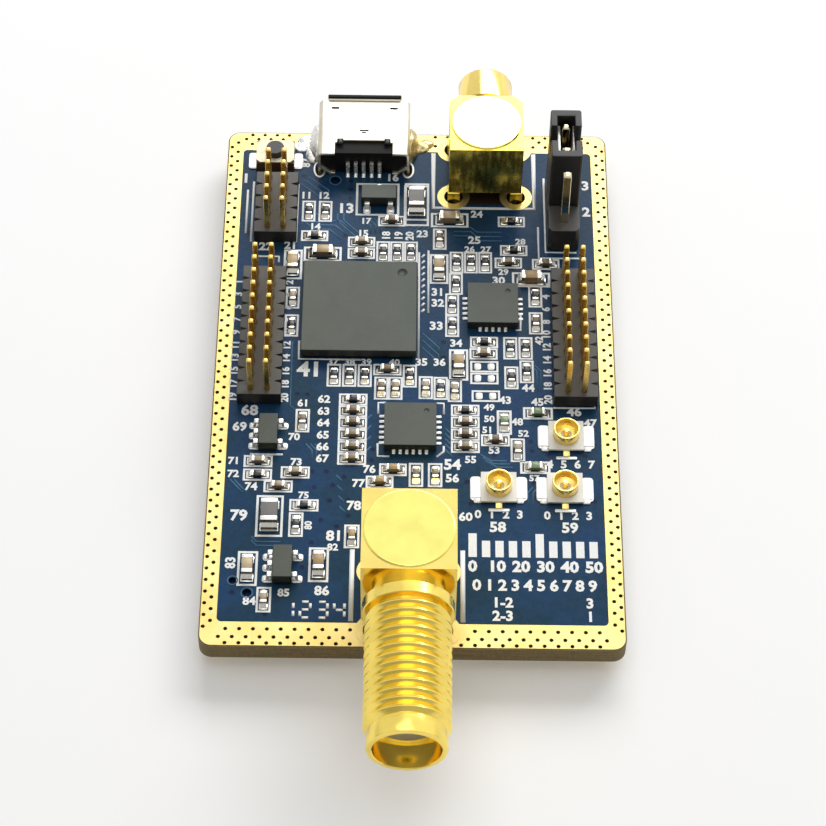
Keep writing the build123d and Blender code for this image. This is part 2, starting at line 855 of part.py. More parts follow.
resistors_upright = (
    row(-8.75, 16.4, 1.35, 2) + row(-2.65, 12.2, 1.12, 3) + row(3.25, 11.2, 1.15, 3)
    + column(2.9, 4.75, 2.15, 2) + [(3.2, 9.0), (9.5, 7.8), (7.45, 2.6), (8.65, 2.6)]
    + [(7.5, -0.3), (8.7, 0.3), (-9.75, 4.6), (-0.4, -0.25), (2.0, -1.4), (-8.8, -14.25)]
    + row(-6.3, -0.25, 1.2, 3))
resistors_level = [(-8.2, 13.8), (7.7, 15.5), (7.85, 12.5), (5.4, 3.15), (-4.75, -2.56),
                   (3.9, -3.5), (-11.85, -9.75), (-8.25, -12.5)]
capacitors_upright = [(1.9, 13.6), (-9.75, 7.4), (9.5, 5.1), (-2.6, -1.45), (-1.5, -1.45),
                      (0.85, -1.35), (3.1, -1.6), (-8.6, -4.65), (7.9, -7.2), (0.15, -9.6),
                      (1.6, -9.6), (-10.95, -20.9)]
capacitors_level = (
    column(-4.75, -3.69, -1.125, 5) + column(3.9, -4.65, -1.15, 3)
    + [(-2.0, 15.45), (-4.4, 13.2), (-4.4, 12.0), (7.4, 11.2), (10.4, 11.1), (5.35, 2.0)]
    + [(-2.15, 0.35), (6.2, -6.3), (-11.85, -8.5), (-9.0, -9.5), (-10.25, -10.8)])
large_upright = [(-12.25, -18.2), (-7.0, -17.8), (-9.85, 10.8), (1.85, 10.5), (3.4, 0.9)]
large_level = [(-7.5, 11.9), (2.7, 15.6), (9.2, 9.5)]
ferrites_upright = [(-10.8, -13.5), (0.0, 17.4)]
diodes_upright = [(6.9, -4.6)]
diodes_level = [(9.5, -3.7), (9.2, -8.8)]
inductors_upright = [(-4.6, -15.25)]
inductors_level = [(-1.6, -9.15), (-2.6, -10.3)]

chip_families = {
    "small_capacitor": (small_capacitor, capacitors_upright, capacitors_level),
    "small_resistor": (small_resistor, resistors_upright, resistors_level),
    "large_capacitor": (large_capacitor, large_upright, large_level),
    "ferrite": (ferrite, ferrites_upright, []),
    "diode": (diode, diodes_upright, diodes_level),
    "inductor": (inductor, inductors_upright, inductors_level),
}


def chip_places(upright, level):
    turned_places = [Pos(x, y, 0) * Rot(0, 0, 90) for x, y in spots(upright)]
    return turned_places + [Pos(x, y, 0) for x, y in spots(level)]


def chip_bodies(size, upright, level):
    length, width, height, end = size
    body = bar(length - 2 * end, width, height - end_swell, end_swell / 2)
    return group([place * body for place in chip_places(upright, level)])


def chip_ends(size, upright, level):
    length, width, height, end = size
    cap = bar(end, width + 2 * end_swell, height + end_swell / 2)
    offset = (length - end) / 2
    return group([place * Pos(side * offset, 0, 0) * cap
                  for place in chip_places(upright, level) for side in (-1, 1)])


# ---------------------------------------------------------------- all pieces

def all_pieces():
    pieces = {
        "board_laminate": board_laminate(),
        "border_foil_top": border_foil(-foil_t),
        "border_foil_bottom": border_foil(-board_t),
        "solder_mask_top": solder_mask(-foil_t),
        "solder_mask_bottom": solder_mask(-board_t),
        "solder_joints": solder_joints(),
        "sma_body": sma_body(),
        "sma_cap": sma_cap(),
        "sma_barrel": sma_barrel(),
        "sma_insulator": sma_insulator(),
        "sma_contact": sma_contact(),
        "mcx_body": mcx_body(),
        "mcx_cap": mcx_cap(),
        "mcx_barrel": mcx_barrel(),
        "mcx_insulator": mcx_insulator(),
        "mcx_contact": mcx_contact(),
        "usb_shell": usb_shell(),
        "usb_solder": usb_solder(),
        "usb_insulator": usb_insulator(),
        "usb_contacts": usb_contacts(),
        "left_header_body": fine_header_body(left_header, left_rows),
        "left_header_pins": fine_header_pins(left_header, left_rows),
        "right_header_body": fine_header_body(right_header, right_rows),
        "right_header_pins": fine_header_pins(right_header, right_rows),
        "debug_header_body": fine_header_body(debug_header, debug_rows),
        "debug_header_pins": fine_header_pins(debug_header, debug_rows),
        "boot_header_body": boot_header_body(),
        "boot_header_pins": boot_header_pins(),
        "shunt_housing": shunt_housing(),
        "shunt_clip": shunt_clip(),
        "switch_base": switch_base(),
        "switch_cover": switch_cover(),
        "switch_button": switch_button(),
        "switch_dome": switch_dome(),
        "switch_terminals": switch_terminals(),
        "coax_bases": coax_bases(),
        "coax_shells": coax_shells(),
        "coax_pins": coax_pins(),
        "processor_package": processor_package(),
        "processor_balls": processor_balls(),
        "tuner_package": flat_chip_package(tuner_spot, 6),
        "tuner_leads": flat_chip_leads(tuner_spot, 6),
        "clock_package": flat_chip_package(clock_spot, 5),
        "clock_leads": flat_chip_leads(clock_spot, 5),
        "small_package_bodies": small_package_bodies(),
        "small_package_leads": small_package_leads(),
    }
    for family, (size, upright, level) in chip_families.items():
        pieces[family + "_bodies"] = chip_bodies(size, upright, level)
        pieces[family + "_ends"] = chip_ends(size, upright, level)
    return pieces


def row_place():
    """Put the origin under the middle of the whole object, where its legs stand."""
    front = sma_centre()[1] - sma_block / 2 - sma_barrel_l()
    back = mcx_centre()[1] + mcx_block / 2 + mcx_barrel_end()
    return Pos(0, -(front + back) / 2, board_t + tail)


def main():
    os.makedirs("parts", exist_ok=True)
    place = row_place()
    for name, shape in all_pieces().items():
        moved = group([place * shape])
        moved.label = name
        export_step(moved, os.path.join("parts", name + ".step"))


main()
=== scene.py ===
import json
import math

import bmesh
import bpy
from mathutils import Matrix, Vector

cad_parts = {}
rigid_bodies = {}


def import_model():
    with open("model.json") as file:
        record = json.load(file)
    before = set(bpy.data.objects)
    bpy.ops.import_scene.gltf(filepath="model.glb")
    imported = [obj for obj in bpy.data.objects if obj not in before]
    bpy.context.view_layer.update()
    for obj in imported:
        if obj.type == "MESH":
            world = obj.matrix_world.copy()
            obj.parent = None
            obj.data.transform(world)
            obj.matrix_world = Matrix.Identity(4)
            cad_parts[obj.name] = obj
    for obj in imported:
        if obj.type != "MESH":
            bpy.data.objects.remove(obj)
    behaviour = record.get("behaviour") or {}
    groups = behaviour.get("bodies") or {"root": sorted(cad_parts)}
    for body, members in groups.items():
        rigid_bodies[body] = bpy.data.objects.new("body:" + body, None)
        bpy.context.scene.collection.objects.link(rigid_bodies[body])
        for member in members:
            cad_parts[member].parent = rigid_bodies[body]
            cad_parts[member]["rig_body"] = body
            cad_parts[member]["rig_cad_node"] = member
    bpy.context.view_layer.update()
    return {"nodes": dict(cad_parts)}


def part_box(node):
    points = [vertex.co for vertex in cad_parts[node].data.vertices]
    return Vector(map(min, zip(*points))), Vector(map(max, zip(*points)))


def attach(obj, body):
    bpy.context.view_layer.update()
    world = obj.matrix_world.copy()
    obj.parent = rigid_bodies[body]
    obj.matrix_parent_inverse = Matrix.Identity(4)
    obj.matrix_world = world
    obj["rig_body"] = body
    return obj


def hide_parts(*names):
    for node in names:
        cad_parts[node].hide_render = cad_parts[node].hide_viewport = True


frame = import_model()
nodes = frame["nodes"]

# A bare receiver board: gold-bordered circuit board, connectors, headers, chips and print.
# Sizes below are in millimetres and are turned into metres where a piece is made. Places are
# from the middle of the board, +X to the right, +Y to the socket side, Z from the blue face.
mm = 0.001
same_place = 0.0005       # points closer than this are merged
sharp = 35                # edges that turn by more degrees than this are rounded


# ---------------------------------------------------------------- places

def find_origin():
    """The middle of the board's blue face, in metres."""
    low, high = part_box("board_laminate")
    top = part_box("solder_mask_top")[1].z
    return Vector(((low.x + high.x) / 2, (low.y + high.y) / 2, top))


def box_mm(node):
    """A CAD node's lowest and highest corners, in millimetres from the middle of the board."""
    low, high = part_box(node)
    return (low - origin) / mm, (high - origin) / mm


origin = find_origin()
board_low, board_high = box_mm("board_laminate")
bottom_z = box_mm("solder_mask_bottom")[0].z
mask_low, mask_high = box_mm("solder_mask_top")


def at(x, y, z=0.0):
    """A point given in millimetres on the board, in the frame's metres."""
    return origin + Vector((x, y, z)) * mm


def middle(box):
    return (box[0] + box[1]) / 2


def wide(box, axis=0):
    return box[1][axis] - box[0][axis]


# ---------------------------------------------------------------- work by hand

def deselect():
    bpy.ops.object.select_all(action="DESELECT")


def take(piece):
    """Make one piece the only selected and the active one."""
    deselect()
    piece.select_set(True)
    bpy.context.view_layer.objects.active = piece


def settle(piece):
    """Put a piece's place, turn and scale into its mesh."""
    take(piece)
    bpy.ops.object.transform_apply(location=True, rotation=True, scale=True)


def named(name):
    """Name the piece that was just made."""
    piece = bpy.context.active_object
    piece.name = name
    piece.data.name = name
    return piece


def link(thing):
    bpy.context.scene.collection.objects.link(thing)


def block(name, low, high):
    """A box between two corners in millimetres on the board."""
    low = Vector(low)
    high = Vector(high)
    centre = (low + high) / 2
    deselect()
    bpy.ops.mesh.primitive_cube_add(size=1, location=at(*centre), scale=(high - low) * mm)
    piece = named(name)
    settle(piece)
    return piece


def disc(name, x, y, z, radius, sides, depth=None):
    """A filled circle, or a cylinder of a depth upward from z, in millimetres on the board."""
    deselect()
    if depth is None:
        bpy.ops.mesh.primitive_circle_add(vertices=sides, radius=radius * mm, fill_type="NGON",
                                          location=at(x, y, z))
    else:
        bpy.ops.mesh.primitive_cylinder_add(vertices=sides, radius=radius * mm, depth=depth * mm,
                                            location=at(x, y, z + depth / 2))
    piece = named(name)
    settle(piece)
    return piece


def edit(piece, mode="FACE"):
    """Start edit mode on one piece, with nothing in it picked."""
    take(piece)
    bpy.ops.object.mode_set(mode="EDIT")
    bpy.ops.mesh.select_mode(type=mode)
    bpy.ops.mesh.select_all(action="DESELECT")


def done():
    bpy.ops.object.mode_set(mode="OBJECT")


def pick_all():
    bpy.ops.mesh.select_all(action="SELECT")


def pick_faces(piece, test):
    """In edit mode, select the faces whose centre and normal pass a test (centre in board mm)."""
    mesh = bmesh.from_edit_mesh(piece.data)
    for face in mesh.faces:
        centre = (face.calc_center_median() - origin) / mm
        face.select_set(test(centre, face.normal))
    mesh.select_flush_mode()
    bmesh.update_edit_mesh(piece.data)


def pick_edges(piece, test):
    """In edit mode, select the edges whose two ends pass a test (ends in board mm)."""
    mesh = bmesh.from_edit_mesh(piece.data)
    for edge in mesh.edges:
        a, b = [(vertex.co - origin) / mm for vertex in edge.verts]
        edge.select_set(test(a, b))
    mesh.select_flush_mode()
    bmesh.update_edit_mesh(piece.data)


def pull(height):
    """In edit mode, extrude what is picked straight up, or down where the height is negative."""
    bpy.ops.mesh.extrude_region_move(TRANSFORM_OT_translate={"value": (0, 0, height * mm)})


def merge_doubles():
    pick_all()
    bpy.ops.mesh.remove_doubles(threshold=same_place * mm)


def face_outward():
    pick_all()
    bpy.ops.mesh.normals_make_consistent(inside=False)


def apply_modifier(piece, kind, **settings):
    take(piece)
    modifier = piece.modifiers.new(kind.title(), kind)
    for key, value in settings.items():
        setattr(modifier, key, value)
    bpy.ops.object.modifier_apply(modifier=modifier.name)


def flatten_shade(piece):
    """Let the broad faces shade flat, so that only the rounded edges between them turn."""
    apply_modifier(piece, "WEIGHTED_NORMAL", mode="FACE_AREA", weight=100)


def soften(piece, width, segments=2):
    """Round the sharp edges of a piece a little."""
    take(piece)
    bpy.ops.object.shade_smooth()
    apply_modifier(piece, "BEVEL", width=width * mm, segments=segments, limit_method="ANGLE",
                   angle_limit=math.radians(sharp))
    flatten_shade(piece)


def smooth_below(piece, angle):
    """Shade smooth across the edges that turn less than an angle."""
    take(piece)
    bpy.ops.object.shade_smooth_by_angle(angle=math.radians(angle))


def cut(piece, cutter):
    apply_modifier(piece, "BOOLEAN", operation="DIFFERENCE", solver="MANIFOLD", object=cutter)


def outward(piece):
    """Merge doubles and turn all faces outward."""
    edit(piece, "VERT")
    merge_doubles()
    bpy.ops.mesh.normals_make_consistent(inside=False)
    done()


def merged_copy(node, name):
    """A copy of a CAD node as one clean mesh with large flat faces."""
    take(nodes[node])
    bpy.ops.object.duplicate()
    piece = named(name)
    piece.parent = None
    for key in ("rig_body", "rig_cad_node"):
        del piece[key]
    edit(piece, "VERT")
    merge_doubles()
    bpy.ops.mesh.dissolve_limited(angle_limit=math.radians(1))
    done()
    return piece


def copied(piece, name, place):
    """A copy with its own mesh, moved by a matrix in metres."""
    made = piece.copy()
    made.data = piece.data.copy()
    made.name = name
    made.data.transform(place)
    link(made)
    return made


def joined(name, pieces):
    """Several meshes made one piece."""
    deselect()
    for piece in pieces:
        piece.select_set(True)
    bpy.context.view_layer.objects.active = pieces[0]
    if len(pieces) > 1:
        bpy.ops.object.join()
    return named(name)


def discard(*pieces):
    for piece in pieces:
        bpy.data.objects.remove(piece)


def move(x, y, z=0.0, turn=0.0):
    """The matrix that carries a shape made at the board's middle to a place, turned about Z."""
    swing = Matrix.Rotation(math.radians(turn), 4, "Z")
    return Matrix.Translation(at(x, y, z)) @ swing @ Matrix.Translation(-origin)


def stretch(x, y):
    """The matrix that stretches a shape made at the board's middle along X and Y."""
    grow = Matrix.Diagonal((x, y, 1, 1))
    return Matrix.Translation(origin) @ grow @ Matrix.Translation(-origin)


def turned(name, profile, centre, steps, axis=(0, 0, 1)):
    """Spin (radius, height) points in millimetres about an axis through a point of the board."""
    start = at(*centre)
    along = Vector(axis)
    side = Vector((1, 0, 0))
    points = [start + side * radius * mm + along * height * mm for radius, height in profile]
    deselect()
    bpy.ops.mesh.primitive_plane_add(size=mm, location=points[0])
    piece = named(name)
    settle(piece)
    edit(piece, "VERT")
    pick_all()
    bpy.ops.mesh.merge(type="CENTER")
    for before, after in zip(points, points[1:]):
        bpy.ops.mesh.extrude_region_move(TRANSFORM_OT_translate={"value": after - before})
    pick_all()
    bpy.ops.mesh.spin(steps=steps, angle=2 * math.pi, center=start, axis=along)
    done()
    outward(piece)
    return piece


def dress(piece, finish, *stands_for, slot=None, body="root"):
    """Give a finished piece its finish and body, and hide the nodes it stands for. Its slot is worked
    out but not kept.
    """
    piece.data.materials.clear()
    piece.data.materials.append(finishes[finish])
    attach(piece, body)
    slot = slot or slots.get(finish)
    if stands_for:
        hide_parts(*stands_for)


# ---------------------------------------------------------------- finishes

finishes = {}             # every finish by its name
noise_span = (0.3, 0.7)   # nearly all of a noise's values lie in here


class Value:
    """One output of a shader node, which arithmetic can be written with."""

    def __init__(self, owner, socket):
        self.owner = owner
        self.socket = socket

    def math(self, operation, first, second):
        return self.owner.node("ShaderNodeMath", {"operation": operation}, {0: first, 1: second})

    def __add__(self, other):
        return self.math("ADD", self, other)

    def __radd__(self, other):
        return self.math("ADD", other, self)

    def __sub__(self, other):
        return self.math("SUBTRACT", self, other)

    def __rsub__(self, other):
        return self.math("SUBTRACT", other, self)

    def __mul__(self, other):
        return self.math("MULTIPLY", self, other)

    def __rmul__(self, other):
        return self.math("MULTIPLY", other, self)


class Nodes:
    """A node tree that is written as Python expressions."""

    def __init__(self, tree):
        self.tree = tree

    def feed(self, socket, value):
        """Link a value to a socket, or set the socket to a number, vector or colour."""
        if isinstance(value, Value):
            self.tree.links.new(value.socket, socket)
        elif socket.type == "RGBA":
            socket.default_value = (*value, 1)
        else:
            socket.default_value = value

    def node(self, kind, settings=None, sockets=None, output=0):
        """Any node: its settings first, then its sockets' values or links."""
        made = self.tree.nodes.new(kind)
        for key, value in (settings or {}).items():
            setattr(made, key, value)
        for key, value in (sockets or {}).items():
            self.feed(made.inputs[key], value)
        return Value(self, made.outputs[output]) if output is not None else None

    def split(self, vector, axis):
        return self.node("ShaderNodeSeparateXYZ", {}, {"Vector": vector}, output=axis)

    def step(self, value, low, high, to_low=0.0, to_high=1.0):
        """A smooth step of a value between two limits."""
        return self.node("ShaderNodeMapRange", {"interpolation_type": "SMOOTHSTEP"}, {
            "Value": value, "From Min": low, "From Max": high, "To Min": to_low, "To Max": to_high})


class Finish(Nodes):
    """A material that ends in one Principled shader."""

    def __init__(self, name):
        self.name = name
        self.material = bpy.data.materials.new(name)
        self.material.use_nodes = True
        super().__init__(self.material.node_tree)
        self.shader = self.tree.nodes["Principled BSDF"]

    def place(self, scale=(1, 1, 1)):
        """Object coordinates in millimetres from the middle of the board, scaled."""
        raw = self.node("ShaderNodeTexCoord", output="Object")
        moved = self.node("ShaderNodeVectorMath", {"operation": "SUBTRACT"}, {0: raw, 1: origin})
        return self.node("ShaderNodeMapping", {}, {"Vector": moved, "Scale": Vector(scale) / mm})

    def noise(self, where, scale, detail, roughness=0.5):
        return self.node("ShaderNodeTexNoise", {}, {
            "Vector": where, "Scale": scale, "Detail": detail, "Roughness": roughness})

    def mix(self, mask, first, second):
        """A colour between two, by a mask from 0 to 1."""
        return self.node("ShaderNodeMix", {"data_type": "RGBA"}, {
            0: mask, 6: first, 7: second}, output=2)

    def bump(self, height, distance):
        return self.node("ShaderNodeBump", {}, {
            "Height": height, "Distance": distance * mm, "Strength": 1.0})

    def finish(self, **sockets):
        """Feed the shader's sockets, and keep the material under its name."""
        for key, value in sockets.items():
            self.feed(self.shader.inputs[key.replace("_", " ")], value)
        finishes[self.name] = self.material

    def skin(self, colour, grain, smooth, rough, depth, **sockets):
        """Close the material: its roughness, and its relief in mm, follow one grain."""
        self.finish(Base_Color=colour, Roughness=self.step(grain, *noise_span, smooth, rough),
                    Normal=self.bump(grain, depth), **sockets)


def tint(colour, share):
    """A colour made lighter (share above 1) or darker."""
    return tuple(min(1.0, channel * share) for channel in colour)


def edge_laminate():
    """Glass-fibre board seen from its sawn edge: layers of cloth in brown resin."""
    f = Finish("edge_laminate")
    where = f.place()
    layers = f.noise(f.place(scale=(0.4, 0.4, 9.0)), 1.0, 2.0)
    cloth = f.noise(f.place(scale=(3.0, 3.0, 1.0)), 1.5, 3.0)
    mask = layers * 0.5 + cloth * 0.5
    colour = f.mix(f.step(mask, 0.35, 0.65), (0.13, 0.085, 0.025), (0.23, 0.165, 0.055))
    f.finish(Base_Color=colour, Roughness=f.step(cloth, *noise_span, 0.55, 0.8),
             Normal=f.bump(f.noise(where, 8.0, 3.0), 0.02))


def plated_border():
    """Gold-plated copper with a fine grain and slight colour clouds."""
    f = Finish("plated_border")
    where = f.place()
    grain = f.noise(where, 22.0, 3.0)
    clouds = f.noise(where, 0.35, 3.0)
    colour = f.mix(f.step(clouds, *noise_span), (0.70, 0.53, 0.17), (0.78, 0.62, 0.25))
    colour = f.mix(f.step(grain, 0.55, 0.75, 0.0, 0.25), colour, (0.70, 0.50, 0.15))
    f.skin(colour, grain, 0.34, 0.48, 0.006, Metallic=0.75)


def blue_mask(name, dark, light):
    """Blue lacquer over copper: clouds, fine orange peel and a soft gloss."""
    f = Finish(name)
    where = f.place()
    clouds = f.noise(where, 0.16, 3.0, 0.6)
    peel = f.noise(where, 1.6, 2.0)
    weave = f.noise(where, 7.0, 2.0)
    colour = f.mix(f.step(clouds, 0.35, 0.65), dark, light)
    colour = f.mix(f.step(weave, 0.5, 0.8, 0.0, 0.18), colour, tint(light, 1.5))
    f.skin(colour, peel, 0.24, 0.32, 0.001, Specular_IOR_Level=0.12)


def white_print():
    """Screen-printed white ink, a little uneven."""
    f = Finish("white_print")
    ink = f.noise(f.place(), 9.0, 3.0)
    colour = f.mix(f.step(ink, 0.35, 0.65), (0.90, 0.92, 0.91), (0.98, 0.98, 0.97))
    f.finish(Base_Color=colour, Roughness=0.55, Normal=f.bump(ink, 0.01))


def upright_share(f):
    """1 on faces that stand upright or look down, 0 on faces that look up: the mask for shade painted
    on upright faces.
    """
    normal = f.node("ShaderNodeNewGeometry", output="Normal")
    return 1 - f.step(f.split(normal, "Z"), 0.3, 0.85)


def tin(name, colour, rough, metallic, frosting=0.001, upright=None):
    """Solder and tinned metal with a faintly frosted skin, and, where given, a colour painted on
    upright faces as shade.
    """
    f = Finish(name)
    frost = f.noise(f.place(), 5.0, 3.0)
    shade = f.mix(f.step(frost, 0.35, 0.7), tint(colour, 0.86), colour)
    # Painted shade: upright faces take the darker colour given as `upright`.
    if upright:
        shade = f.mix(upright_share(f) * 0.85, shade, upright)
    f.skin(shade, frost, rough * 0.8, rough * 1.25, frosting, Metallic=metallic)


def drawn_steel():
    """Bright plated sheet of the socket's shell, with drawing marks and slight warm clouds."""
    f = Finish("drawn_steel")
    marks = f.noise(f.place(scale=(0.6, 12.0, 1.0)), 1.0, 3.0)
    clouds = f.noise(f.place(), 0.5, 2.0)
    colour = f.mix(f.step(clouds, 0.35, 0.65), (0.66, 0.62, 0.50), (0.74, 0.71, 0.61))
    f.skin(colour, marks, 0.36, 0.46, 0.002, Metallic=1.0)


def stained_gold():
    """Gold plate whose upright faces are painted darker as shade, with dark mottled patches there
    that are partly stains of flux and polish and partly painted shade.
    """
    f = Finish("stained_gold")
    where = f.place()
    clouds = f.noise(where, 0.55, 4.0, 0.6)
    runs = f.noise(f.place(scale=(3.0, 3.0, 0.5)), 1.0, 3.0)
    upright = upright_share(f)
    # Painted shade: upright faces are darkened, and the dark patches fall on upright faces only.
    dark_patch = f.step(clouds * 0.6 + runs * 0.4, 0.40, 0.58) * upright
    colour = f.mix(upright * 0.55, (0.96, 0.74, 0.11), (0.45, 0.36, 0.08))
    colour = f.mix(dark_patch * 0.8, colour, (0.05, 0.045, 0.012))
    f.skin(colour, clouds, 0.16, 0.34, 0.01, Metallic=1.0)


def rich_gold(name, colour, shade, rough, scratch=(1, 1, 1)):
    """Gold-plated brass with turning marks along one direction and warm stains."""
    f = Finish(name)
    where = f.place()
    marks = f.noise(f.place(scale=scratch), 6.0, 2.0)
    clouds = f.noise(where, 0.6, 3.0)
    colour = f.mix(f.step(clouds, 0.35, 0.7), colour, tint(colour, 0.9))
    colour = f.mix(f.step(marks, 0.55, 0.8, 0.0, 0.4), colour, shade)
    f.skin(colour, marks, rough * 0.75, rough * 1.3, 0.0008, Metallic=1.0)


def moulded(name, colour, rough, grain=14.0, depth=0.006, sides=1.0, gloss=0.3):
    """Moulded plastic or epoxy: a fine grain, faint specks, and upright sides painted darker as
    shade.
    """
    f = Finish(name)
    where = f.place()
    fine = f.noise(where, grain, 4.0, 0.65)
    broad = f.noise(where, 0.5, 2.0)
    shade = f.mix(f.step(broad, *noise_span), tint(colour, 0.94), tint(colour, 1.06))
    shade = f.mix(f.step(fine, 0.55, 0.75, 0.0, 0.5), shade, tint(colour, 1.7))
    # Painted shade: upright faces are darkened to the share `sides` of the colour.
    if sides < 1.0:
        shade = f.mix(upright_share(f), shade, tint(colour, sides))
    f.skin(shade, fine, rough * 0.85, rough * 1.15, depth, Specular_IOR_Level=gloss)


def ceramic(name, first, second, rough=0.4):
    """Fired chip ceramic whose shade differs from chip to chip, and which is painted darker at the
    sides as shade.
    """
    f = Finish(name)
    where = f.place()
    batch = f.noise(where, 0.28, 0.0)
    grain = f.noise(where, 12.0, 3.0)
    colour = f.mix(f.step(batch, 0.38, 0.62), first, second)
    colour = f.mix(f.step(grain, 0.5, 0.75, 0.0, 0.35), colour, tint(second, 1.35))
    # Painted shade: upright faces are darkened towards a deep tone of the first colour.
    colour = f.mix(upright_share(f) * 0.7, colour, tint(first, 0.4))
    f.skin(colour, grain, rough * 0.8, rough * 1.2, 0.008)


def make_finishes():
    """Every finish of the board, each kept under its own name."""
    edge_laminate()
    plated_border()
    blue_mask("blue_mask", (0.010, 0.043, 0.080), (0.013, 0.054, 0.138))
    blue_mask("trace_mask", (0.045, 0.125, 0.210), (0.085, 0.190, 0.310))
    white_print()
    drawn_steel()
    tin("solder", (0.88, 0.88, 0.85), 0.32, 0.8, 0.006)
    tin("white_solder", (0.92, 0.92, 0.90), 0.40, 0.35, 0.006)
    tin("tinned_steel", (0.92, 0.90, 0.84), 0.30, 0.8)
    # The chip ends' last colour is painted shade on their upright faces.
    tin("chip_end", (0.88, 0.87, 0.81), 0.28, 1.0, 0.001, (0.16, 0.12, 0.07))
    tin("pale_cover", (0.56, 0.52, 0.38), 0.50, 0.8)
    tin("flux_brown", (0.62, 0.50, 0.24), 0.28, 0.6, 0.02)
    # Painted shadow: the colour of the dark sheet under the push-fit jack.
    moulded("painted_jack_shadow", (0.030, 0.016, 0.008), 0.35)
    blue_mask("via_mask", (0.004, 0.014, 0.050), (0.008, 0.024, 0.075))
    rich_gold("connector_gold", (0.98, 0.76, 0.22), (0.90, 0.60, 0.12), 0.14, (1, 9, 9))
    rich_gold("thread_gold", (1.0, 0.77, 0.17), (0.95, 0.61, 0.08), 0.17, (9, 1, 9))
    rich_gold("cap_gold", (1.0, 0.92, 0.25), (1.0, 0.87, 0.21), 0.10, (3, 3, 3))
    rich_gold("pin_gold", (0.86, 0.60, 0.17), (0.60, 0.36, 0.06), 0.24, (5, 5, 1))
    rich_gold("ring_gold", (0.95, 0.74, 0.25), (0.80, 0.56, 0.12), 0.22)
    rich_gold("boot_pin_gold", (0.80, 0.72, 0.50), (0.60, 0.50, 0.30), 0.13, (5, 5, 1))
    stained_gold()
    rich_gold("clip_bronze", (0.80, 0.72, 0.55), (0.60, 0.48, 0.30), 0.32)
    moulded("white_core", (0.88, 0.87, 0.82), 0.40)
    moulded("bore_white", (0.55, 0.53, 0.48), 0.45)
    # The last number of these two finishes is painted shade on their upright faces.
    moulded("header_black", (0.085, 0.082, 0.078), 0.42, 9.0, 0.006, 0.25)
    moulded("shunt_black", (0.055, 0.055, 0.057), 0.45, 8.0, 0.008, 0.3)
    moulded("core_black", (0.012, 0.012, 0.012), 0.5, gloss=0.1)
    # Its last number is painted shade on its upright faces.
    moulded("chip_epoxy", (0.078, 0.090, 0.072), 0.45, 7.0, 0.008, 0.25)
    moulded("brown_plastic", (0.085, 0.045, 0.020), 0.45)
    moulded("button_black", (0.040, 0.040, 0.042), 0.28)
    ceramic("tan_ceramic", (0.40, 0.27, 0.12), (0.58, 0.46, 0.28))
    ceramic("brown_ceramic", (0.17, 0.11, 0.06), (0.42, 0.34, 0.22))
    ceramic("ferrite_grey", (0.10, 0.10, 0.10), (0.17, 0.16, 0.15))
    ceramic("black_glaze", (0.012, 0.012, 0.013), (0.03, 0.03, 0.03), 0.3)
    ceramic("green_glass", (0.10, 0.16, 0.07), (0.20, 0.28, 0.14), 0.25)


# The slot that each finish belongs to. A piece may name another one.
slot_finishes = {
    "laminate": ["edge_laminate"],
    "gold_plate": ["plated_border"],
    "solder_mask": ["blue_mask", "trace_mask", "via_mask"],
    "gold_metal": ["connector_gold", "thread_gold", "cap_gold", "stained_gold", "pin_gold",
                   "boot_pin_gold", "ring_gold"],
    "tinned_steel": ["drawn_steel", "tinned_steel", "pale_cover", "clip_bronze"],
    "solder": ["solder", "white_solder", "flux_brown", "painted_jack_shadow", "chip_end"],
    "black_plastic": ["header_black", "shunt_black", "core_black", "button_black"],
    "brown_plastic": ["brown_plastic"],
    "white_plastic": ["white_core"],
    "chip_epoxy": ["chip_epoxy"],
    "tan_ceramic": ["tan_ceramic", "brown_ceramic"],
    "dark_ceramic": ["black_glaze", "ferrite_grey"],
    "green_ceramic": ["green_glass"],
}
slots = {finish: slot for slot, members in slot_finishes.items() for finish in members}

# The CAD nodes that stay in view, by their finish. Pieces stand for all the others.
node_finishes = {
    "solder": ["solder_joints", "switch_terminals", "processor_balls"],
    "tinned_steel": ["tuner_leads", "clock_leads"],
    "clip_bronze": ["switch_dome"],
    "bore_white": ["sma_insulator", "mcx_insulator"],
    "cap_gold": ["sma_contact", "mcx_contact"],
}


def paint_nodes():
    for finish, names in node_finishes.items():
        for name in names:
            mesh = nodes[name].data
            mesh.materials.clear()
            mesh.materials.append(finishes[finish])


# ---------------------------------------------------------------- the CAD's solids as they lie

def islands(node):
    """The separate solids of a CAD node, each as its lowest and highest corner in board mm."""
    mesh = bmesh.new()
    mesh.from_mesh(nodes[node].data)
    bmesh.ops.remove_doubles(mesh, verts=mesh.verts, dist=same_place * mm)
    waiting = set(mesh.verts)
    boxes = []
    while waiting:
        reached = [waiting.pop()]
        corners = []
        while reached:
            vertex = reached.pop()
            corners.append((vertex.co - origin) / mm)
            for edge in vertex.link_edges:
                other = edge.other_vert(vertex)
                if other in waiting:
                    waiting.remove(other)
                    reached.append(other)
        low = Vector([min(c[k] for c in corners) for k in range(3)])
        high = Vector([max(c[k] for c in corners) for k in range(3)])
        boxes.append((low, high))
    mesh.free()
    return sorted(boxes, key=lambda box: (round(box[0].x, 2), round(box[0].y, 2)))


# ---------------------------------------------------------------- flat strips and numbers

print_t = 0.02            # thickness of the white print
small_digit = 0.7         # height of most of the small numbers
digit_size = 1.38         # size of the type over the height of its digits
thick_line = 0.36
thin_line = 0.17


